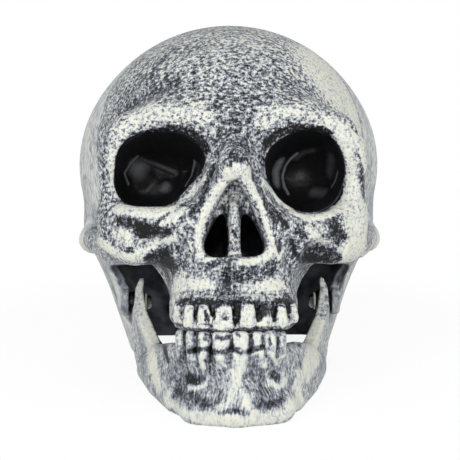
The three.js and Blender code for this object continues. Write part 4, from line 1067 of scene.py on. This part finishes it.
def skin(name, clay):
    """Lays a mesh over the clay and returns its object and its points in level millimetres."""
    depth = np.clip(clay.depth, -AIR, AIR)
    for axis in range(3):
        for end in (0, -1):
            depth[tuple(end if n == axis else slice(None) for n in range(3))] = OUTSIDE
    grid = openvdb.FloatGrid(OUTSIDE)
    grid.copyFromArray(np.ascontiguousarray(depth, dtype=np.float32))
    points, triangles, quads = grid.convertToPolygons(isovalue=0.0, adaptivity=0.0)
    points = np.stack([np.interp(points[:, n], np.arange(len(a)), a) for n, a in enumerate(clay.lines)], 1)
    mesh = bpy.data.meshes.new(name)
    mesh.from_pydata(to_table(points).tolist(), [], triangles[:, ::-1].tolist() + quads[:, ::-1].tolist())
    mesh.shade_smooth()
    made = bpy.data.objects.new(name, mesh)
    bpy.context.collection.objects.link(made)
    SHOWN[name] = made
    print(name, "has", len(triangles) + 2 * len(quads), "triangles")
    return made, points


# %% Where the brush went
PAINT_SHARE = 0.45  # how much of a mark's paint is laid
FEELERS = ((1.6, 0.25, 0.5), (4.0, 0.2, 0.5))  # a reach, what a ridge there adds, what a hollow takes


def nearest_of(places, points):
    """How far each point is from the nearest of some places."""
    return np.linalg.norm(points[:, None] - places[None], axis=2).min(1)


def brushed(points, whole, marks, start, inside, relief=1.0):
    """The paint on each point, from the form and the marks, with the normals and where the brush reached."""
    normals = whole.normals(points)
    surface = whole.sample(points)
    amount = np.full(len(points), start)
    for reach, catch, skip in FEELERS:
        proud = 1 + whole.sample(points - normals * reach) / reach
        deep = 1 - whole.sample(points + normals * reach) / reach
        amount += relief * (np.clip(proud, 0, 1) * catch - np.clip(deep, 0, 1) * skip)
    for mark in marks:
        low, high = mark.places.min(0) - mark.radius, mark.places.max(0) + mark.radius
        index = np.flatnonzero(np.all((points > low) & (points < high), 1))
        fall = np.clip((1.15 - nearest_of(mark.places, points[index]) / mark.radius) * 1.3, 0, 1)
        fall = fall * fall * (3 - 2 * fall)
        amount[index] += fall * mark.paint * PAINT_SHARE
    outside = np.clip(1.25 - np.abs(surface) / 1.8, 0, 1)
    return np.clip(amount, -0.05, 0.9) * outside + inside * (1 - outside), normals, outside


def near_pivot(points, reach):
    """1 on the ears and knuckles, round the jaw's pivots, and 0 further away."""
    spans = np.hypot(points[:, 1] - PIVOT[0], points[:, 2] - PIVOT[1])
    return np.clip((reach - spans) / 3, 0, 1) * (np.abs(points[:, 0]) < EAR_FACE + 4.2)


def remember(made, amount, streak, cover, sideways):
    """Stores the four numbers of each point as a colour attribute."""
    values = np.stack([amount, streak, cover, sideways], 1).astype(np.float32)
    layer = made.data.color_attributes.new("brush", "FLOAT_COLOR", "POINT")
    layer.data.foreach_set("color", values.ravel())
    print(made.name, "has paint of", round(float(amount.mean()), 2), "on average")


# %% Paint on the face
made, points = skin("face_skin", face)
amount, normals, cover = brushed(points, face_whole, face_marks, 0.55, 0.1)
high = np.clip((points[:, 2] - 20) / 25, 0, 1)
back = np.clip((points[:, 1] + 34) / 14, 0, 1)
streak = np.clip(0.5 - high * 0.4, 0.1, 1)
remember(made, amount, np.maximum(streak, back * 0.6), cover, normals[:, 0] ** 2)

# %% Paint on the rear, whose ears and lower inside caught some too
made, points = skin("rear_skin", rear)
low = np.clip((-2 - points[:, 2]) / 8, 0, 1)
amount, normals, cover = brushed(points, rear_whole, rear_marks, 0.73, 0.05 + 0.35 * low)
ears = near_pivot(points, 14.0)
amount, cover = amount * (1 - ears) + 0.6 * ears, np.maximum(cover, ears)
out, back, up = np.abs(points[:, 0]) - 70, points[:, 1] - 3, points[:, 2] + 3
arch_end = np.exp(-(out ** 2 + back ** 2 + up ** 2) / 90)
amount = np.clip(amount + arch_end * 0.25 * cover, 0, 1)
remember(made, amount, np.ones(len(points)), cover, normals[:, 0] ** 2)

# %% Paint on the jaw, whose knuckles stay bare black, also as painted shade in the gap at the pivots
made, points = skin("jaw_skin", jaw)
amount, normals, cover = brushed(points, jaw_whole, jaw_marks, 0.6, 0.15, 0.65)
# The knuckles get no paint: bare black plastic, which also paints the shade of the gap they sit in.
knuckles = near_pivot(points, 12.0)
amount -= knuckles
cover *= 1 - knuckles
teeth = np.clip((points[:, 2] + 64) / 6, 0, 1)
remember(made, amount, 0.85 - 0.55 * teeth, cover, normals[:, 0] ** 2)

# %% Wear and painted sheen on the cups' edges
for name, (cup, marks) in cups.items():
    made, points = skin(name.replace("_cup", "_lining"), cup)
    edge_wear_and_sheen = np.zeros(len(points))
    for mark in marks:
        fall = 1.2 - nearest_of(mark.places, points) / max(mark.radius * 0.6, 0.8)
        edge_wear_and_sheen = np.maximum(edge_wear_and_sheen, mark.paint * np.clip(fall, 0, 1))
    remember(made, edge_wear_and_sheen, np.ones(len(points)), edge_wear_and_sheen * 0, edge_wear_and_sheen * 0)

# %% [markdown]
# ## Materials as sums
#
# A finish is a recipe of patterns, and it reads best as arithmetic. Wire stands for the output of a
# node, so that sums of wires add Math nodes by themselves. Every other node comes from one method.


# %% Wires
class Wire:
    """The output of a node, which can stand in a sum."""

    def __init__(self, recipe, socket):
        self.recipe, self.socket = recipe, socket

    def maths(self, operation, first, second):
        return self.recipe.add("Math", {"operation": operation}, {0: first, 1: second})

    def __add__(self, other):
        return self.maths("ADD", self, other)

    __radd__ = __add__

    def __sub__(self, other):
        return self.maths("SUBTRACT", self, other)

    def __rsub__(self, other):
        return self.maths("SUBTRACT", other, self)

    def __mul__(self, other):
        return self.maths("MULTIPLY", self, other)

    __rmul__ = __mul__


# %% A recipe of nodes
class Recipe:
    """The nodes of one material, or of a world; add makes any of them."""

    def __init__(self, name, shelf=bpy.data.materials, shader="Principled BSDF"):
        self.owner = shelf.new(name)
        self.owner.use_nodes = True
        self.tree = self.owner.node_tree
        self.shader = self.tree.nodes[shader]

    def add(self, kind, settings, sockets, output=0):
        node = self.tree.nodes.new("ShaderNode" + kind)
        for key, value in settings.items():
            if key == "stops":
                self.set_ramp(node.color_ramp, value)
            else:
                setattr(node, key, value)
        self.plug(node, sockets)
        return Wire(self, node.outputs[output])

    def set_ramp(self, ramp, stops):
        while len(ramp.elements) < len(stops):
            ramp.elements.new(1.0)
        for element, (place, colour) in zip(ramp.elements, stops):
            element.position, element.color = place, colour

    def plug(self, node, sockets):
        for key, value in sockets.items():
            if isinstance(value, Wire):
                self.tree.links.new(value.socket, node.inputs[key])
            else:
                node.inputs[key].default_value = value

    def blend(self, share, first, second):
        return self.add("Mix", {"data_type": "RGBA"}, {0: share, 6: first, 7: second}, 2)

    def step(self, value, low, high):
        return self.add("MapRange", {"interpolation_type": "SMOOTHSTEP"},
                        {"Value": value, "From Min": low, "From Max": high})

    def noise(self, place, detail=3.0, rough=0.55):
        return self.add("TexNoise", {}, {"Vector": place, "Scale": 1.0, "Detail": detail, "Roughness": rough})

    def times(self, vector, numbers):
        return self.add("VectorMath", {"operation": "MULTIPLY"}, {0: vector, 1: numbers})

    def millimetres(self, scale, bent=False):
        """Level coordinates in millimetres, times a scale for each axis; bent ones drift to and fro."""
        level = self.add("Mapping", {"vector_type": "POINT"}, {
            "Vector": self.add("TexCoord", {}, {}, "Object"), "Rotation": (LEAN, 0, 0)})
        if bent:
            wide = self.times(level, (55.0, 55.0, 55.0))
            drift = self.add("TexNoise", {}, {"Vector": wide, "Scale": 1.0, "Detail": 1.0}, "Color")
            step = self.times(drift, (0.012, 0.012, 0.012))
            level = self.add("VectorMath", {"operation": "ADD"}, {0: level, 1: step})
        return self.times(level, tuple(1000 * n for n in scale))


# %% Colours of paint
def paint_of(*levels):
    """A colour as a paint chart gives it, from 0 to 255, as Blender's numbers."""
    shares = [(n, n / 255) for n in levels]
    return tuple(s / 12.92 if n <= 10 else ((s + 0.055) / 1.055) ** 2.4 for n, s in shares) + (1.0,)


cream = [round(n, 2) for n in paint_of(232, 232, 217)]
print("The cream paint, 232 232 217, is", cream, "to Blender")

# %% [markdown]
# ## Black plastic under dry-brushed paint
#
# The plastic is black and a little glossy. The brush first left a thin slate wash, then pale grey, then
# cream where it pressed. On the forehead the paint is stippled in specks of under a millimetre; lower
# down and on the sides it runs in fine upright streaks. Specks and streaks come from noise that is
# added to the amount of paint, so more paint means fewer gaps, as with a real brush. An image of the
# paint would repeat or blur up close, and noise does neither.

# %% Painted plastic
PAINT_STOPS = [
    (0.0, paint_of(8, 8, 9)),
    (0.16, paint_of(46, 47, 51)),
    (0.34, paint_of(92, 96, 106)),
    (0.54, paint_of(150, 155, 163)),
    (0.74, paint_of(204, 208, 207)),
    (0.96, paint_of(232, 232, 217)),
]
print(len(PAINT_STOPS), "paints, from bare plastic to cream")


def painted(name, speckle, streakiness, grit):
    """Speckle, streakiness and grit are how strongly each breaks up the paint."""
    recipe = Recipe(name)
    brush = recipe.add("Attribute", {"attribute_name": "brush"}, {}, "Color")
    sideways = recipe.add("Attribute", {"attribute_name": "brush"}, {}, "Alpha")
    # The colour holds the amount of paint, how streaky it is, and where the brush reached.
    amount = recipe.add("SeparateColor", {}, {"Color": brush})
    streaky, cover = (Wire(recipe, amount.socket.node.outputs[n]) for n in (1, 2))

    specks = recipe.noise(recipe.millimetres((0.55, 0.7, 0.75)), 2.0, 0.55)
    front = recipe.noise(recipe.millimetres((1.3, 0.3, 0.25), bent=True), 3.0, 0.6)
    side = recipe.noise(recipe.millimetres((0.9, 0.95, 0.2), bent=True), 3.0, 0.6)
    streaks = front * (1 - sideways) + side * sideways
    patches = recipe.noise(recipe.millimetres((0.075, 0.075, 0.06)), 3.0, 0.6)
    clots = recipe.noise(recipe.millimetres((0.33, 0.33, 0.28)), 3.0, 0.55)
    pits = recipe.step(recipe.noise(recipe.millimetres((1.1, 1.1, 0.8)), 1.0, 0.5), 0.42, 0.32)
    flecks = recipe.step(recipe.noise(recipe.millimetres((1.3, 1.3, 0.7)), 1.0, 0.5), 0.6, 0.7)
    stippled = (specks - 0.5) * (1 - 0.6 * streaky) * speckle
    pattern = stippled + (streaks - 0.5) * (0.25 + streaky) * streakiness
    spots = flecks * 0.25 - pits * 0.4
    rough = (patches - 0.5) * 0.4 + (clots - 0.5) * 0.5 + pattern + spots * grit
    thick = recipe.step(amount, 0.7, 0.92)
    overspray = (patches - 0.5) * (1 - cover)
    level = amount + rough * cover * (1 - 0.4 * thick) + overspray
    colour = recipe.add("ValToRGB", {"stops": PAINT_STOPS}, {"Fac": level})
    coat = recipe.step(level, 0.3, 0.8)
    height = level + specks * 0.3 + clots * 0.8
    bump = recipe.add("Bump", {}, {"Height": height, "Strength": 0.6, "Distance": 0.0003})
    recipe.plug(recipe.shader, {"Base Color": colour, "Roughness": 0.4 + 0.25 * coat, "Normal": bump,
                                "Specular IOR Level": 0.25})
    return recipe.owner


# %% [markdown]
# ## Gloss black, steel and nylon
#
# The socket linings are bare black plastic with a moulded gloss, worn a little on their edges, where a
# paler paint is also painted sheen. The screws are zinc-plated steel, turned on a lathe, and the washers
# are natural nylon. One flat value for each would do from far off, but a little noise in the roughness
# and the bump breaks up the highlights.


# %% The other finishes
def gloss_black():
    recipe = Recipe("gloss_black")
    brush = recipe.add("Attribute", {"attribute_name": "brush"}, {}, "Color")
    sheen_and_wear = recipe.add("SeparateColor", {}, {"Color": brush})
    grain = recipe.noise(recipe.millimetres((0.5, 0.5, 0.5)))
    fine = recipe.noise(recipe.millimetres((2.5, 2.5, 2.5)))
    dust = recipe.step(fine, 0.66, 0.74) * 0.35
    # The paler grey from the brush attribute is wear and painted sheen on the edges; the specks are dust.
    colour = recipe.blend(dust + sheen_and_wear * 1.6, paint_of(24, 24, 26), paint_of(206, 207, 212))
    bump = recipe.add("Bump", {}, {"Height": grain + fine * 0.2, "Strength": 0.25, "Distance": 0.0006})
    recipe.plug(recipe.shader, {"Base Color": colour, "Roughness": 0.22 + 0.25 * grain, "Normal": bump,
                                "Specular IOR Level": 0.22})
    return recipe.owner


def turned_steel():
    recipe = Recipe("turned_steel")
    grain = recipe.noise(recipe.millimetres((6.0, 0.8, 6.0)))
    tarnish = recipe.noise(recipe.millimetres((0.6, 0.6, 0.6)))
    colour = recipe.blend(tarnish, paint_of(88, 90, 94), paint_of(128, 129, 132))
    bump = recipe.add("Bump", {}, {"Height": grain, "Strength": 0.3, "Distance": 0.0001})
    recipe.plug(recipe.shader, {"Base Color": colour, "Metallic": 1.0, "Roughness": 0.25 + 0.25 * grain,
                                "Normal": bump})
    return recipe.owner


def natural_nylon():
    recipe = Recipe("natural_nylon")
    cloud = recipe.noise(recipe.millimetres((0.8, 0.8, 0.8)))
    colour = recipe.blend(cloud, paint_of(214, 210, 198), paint_of(236, 233, 224))
    bump = recipe.add("Bump", {}, {"Height": cloud, "Strength": 0.15, "Distance": 0.0001})
    recipe.plug(recipe.shader, {"Base Color": colour, "Roughness": 0.45 + 0.15 * cloud, "Normal": bump})
    return recipe.owner


print("The recipes for gloss black, turned steel and natural nylon are ready")

# %% [markdown]
# ## Dressing the frame
#
# Each skin stands for the CAD node of its moulding and rides on the same body, so the jaw's skin drops
# with the jaw. The screws and washers keep their CAD meshes and only get a finish.

# %% Skins on their bodies
face_paint = painted("painted_face", 2.6, 2.0, 1.0)
rear_paint = painted("painted_rear", 0.5, 1.0, 0.15)
jaw_paint = painted("painted_jaw", 1.4, 1.8, 0.4)
black = gloss_black()
DRESS = {
    "face_skin": ("face_shell", "head", "bone_paint", face_paint),
    "rear_skin": ("rear_shell", "head", "bone_paint", rear_paint),
    "jaw_skin": ("jaw", "jaw", "bone_paint", jaw_paint),
    "left_socket_lining": ("left_socket_cup", "head", "socket_black", black),
    "right_socket_lining": ("right_socket_cup", "head", "socket_black", black),
}
for name, (node, body, slot, material) in DRESS.items():
    made = SHOWN[name]
    made.data.materials.append(material)
    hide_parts(node)
    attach(made, body)

steel, nylon = turned_steel(), natural_nylon()
for name, node in frame["nodes"].items():
    if "screw" in name or "washer" in name:
        node.data.materials.clear()
        node.data.materials.append(nylon if "washer" in name else steel)
print("Dressed:", ", ".join(DRESS))

# %% [markdown]
# ## Studio
#
# The photograph was taken in soft light on white. Three soft lamps stand in front, the strongest of them
# high on the left, and a white room fills in. A solid floor would hide the jaw where it drops below the
# table, so the camera mostly sees through the floor to the white room. The floor still takes the soft
# shadow, and lets light through from below.

# %% Floor
FLOOR_DROP = 0.0002  # metres, so that the floor and the faces that rest on it don't meet
SEEN_THROUGH, NEAR, FAR = 0.85, 0.13, 0.22  # the share near the object, and where it grows to all
bpy.ops.mesh.primitive_plane_add(size=6, location=(0, 0, -FLOOR_DROP))
floor = bpy.context.object
floor.name = "floor"
sheet = Recipe("white_sheet")
# Direct is what the camera sees, straight, in a reflection or through something clear.
rays = [sheet.add("LightPath", {}, {}, f"Is {kind} Ray") for kind in ("Camera", "Glossy", "Transmission")]
direct = sheet.step(rays[0] + rays[1] + rays[2], 0.0, 1.0)
spot = sheet.add("TexCoord", {}, {}, "Object")
reach = sheet.add("VectorMath", {"operation": "LENGTH"}, {0: spot}, "Value")
clear = direct * (SEEN_THROUGH + (1 - SEEN_THROUGH) * sheet.step(reach, NEAR, FAR))
from_below = sheet.add("LightPath", {}, {}, "Is Shadow Ray") * sheet.add("NewGeometry", {}, {}, "Backfacing")
sheet.plug(sheet.shader, {"Base Color": (0.9, 0.9, 0.9, 1), "Roughness": 0.9, "Specular IOR Level": 0.0})
glow = sheet.add("Emission", {}, {"Color": (1, 1, 1, 1), "Strength": direct * 0.3})
lit = sheet.add("AddShader", {}, {0: Wire(sheet, sheet.shader.outputs[0]), 1: glow})
air = sheet.add("BsdfTransparent", {}, {"Color": (1, 1, 1, 1)})
both = sheet.add("MixShader", {}, {0: clear + from_below, 1: lit, 2: air})
sheet.plug(sheet.tree.nodes["Material Output"], {"Surface": both})
floor.data.materials.append(sheet.owner)
print("The floor lies", 1000 * FLOOR_DROP, "mm below the table plane")

# %% Lamps and world
LAMPS = {  # place and size in metres, and power in watts
    "key": ((-0.55, -0.8, 0.75), 0.5, 3.3),
    "fill": ((0.7, -0.7, 0.5), 0.6, 2.3),
    "front": ((-0.12, -0.95, 0.32), 0.3, 2.0),
}
LIT_PLACE = Vector((0, 0, 0.08))
for name, (place, size, power) in LAMPS.items():
    data = bpy.data.lights.new(name, "AREA")
    data.size, data.energy = size, power
    made = bpy.data.objects.new(name, data)
    made.location = place
    made.rotation_euler = (LIT_PLACE - made.location).to_track_quat("-Z", "Y").to_euler()
    bpy.context.collection.objects.link(made)
    print("The", name, "lamp is", size, "m wide and has", power, "W")

room = Recipe("white_room", bpy.data.worlds, "Background")
on_camera, in_gloss = (room.add("LightPath", {}, {}, f"Is {kind} Ray") for kind in ("Camera", "Glossy"))
seen_white = on_camera.maths("MAXIMUM", on_camera, in_gloss)
room.plug(room.shader, {"Color": (1, 1, 1, 1), "Strength": 0.5 + 0.5 * seen_white})
bpy.context.scene.world = room.owner
bpy.context.scene.view_settings.view_transform = "Standard"
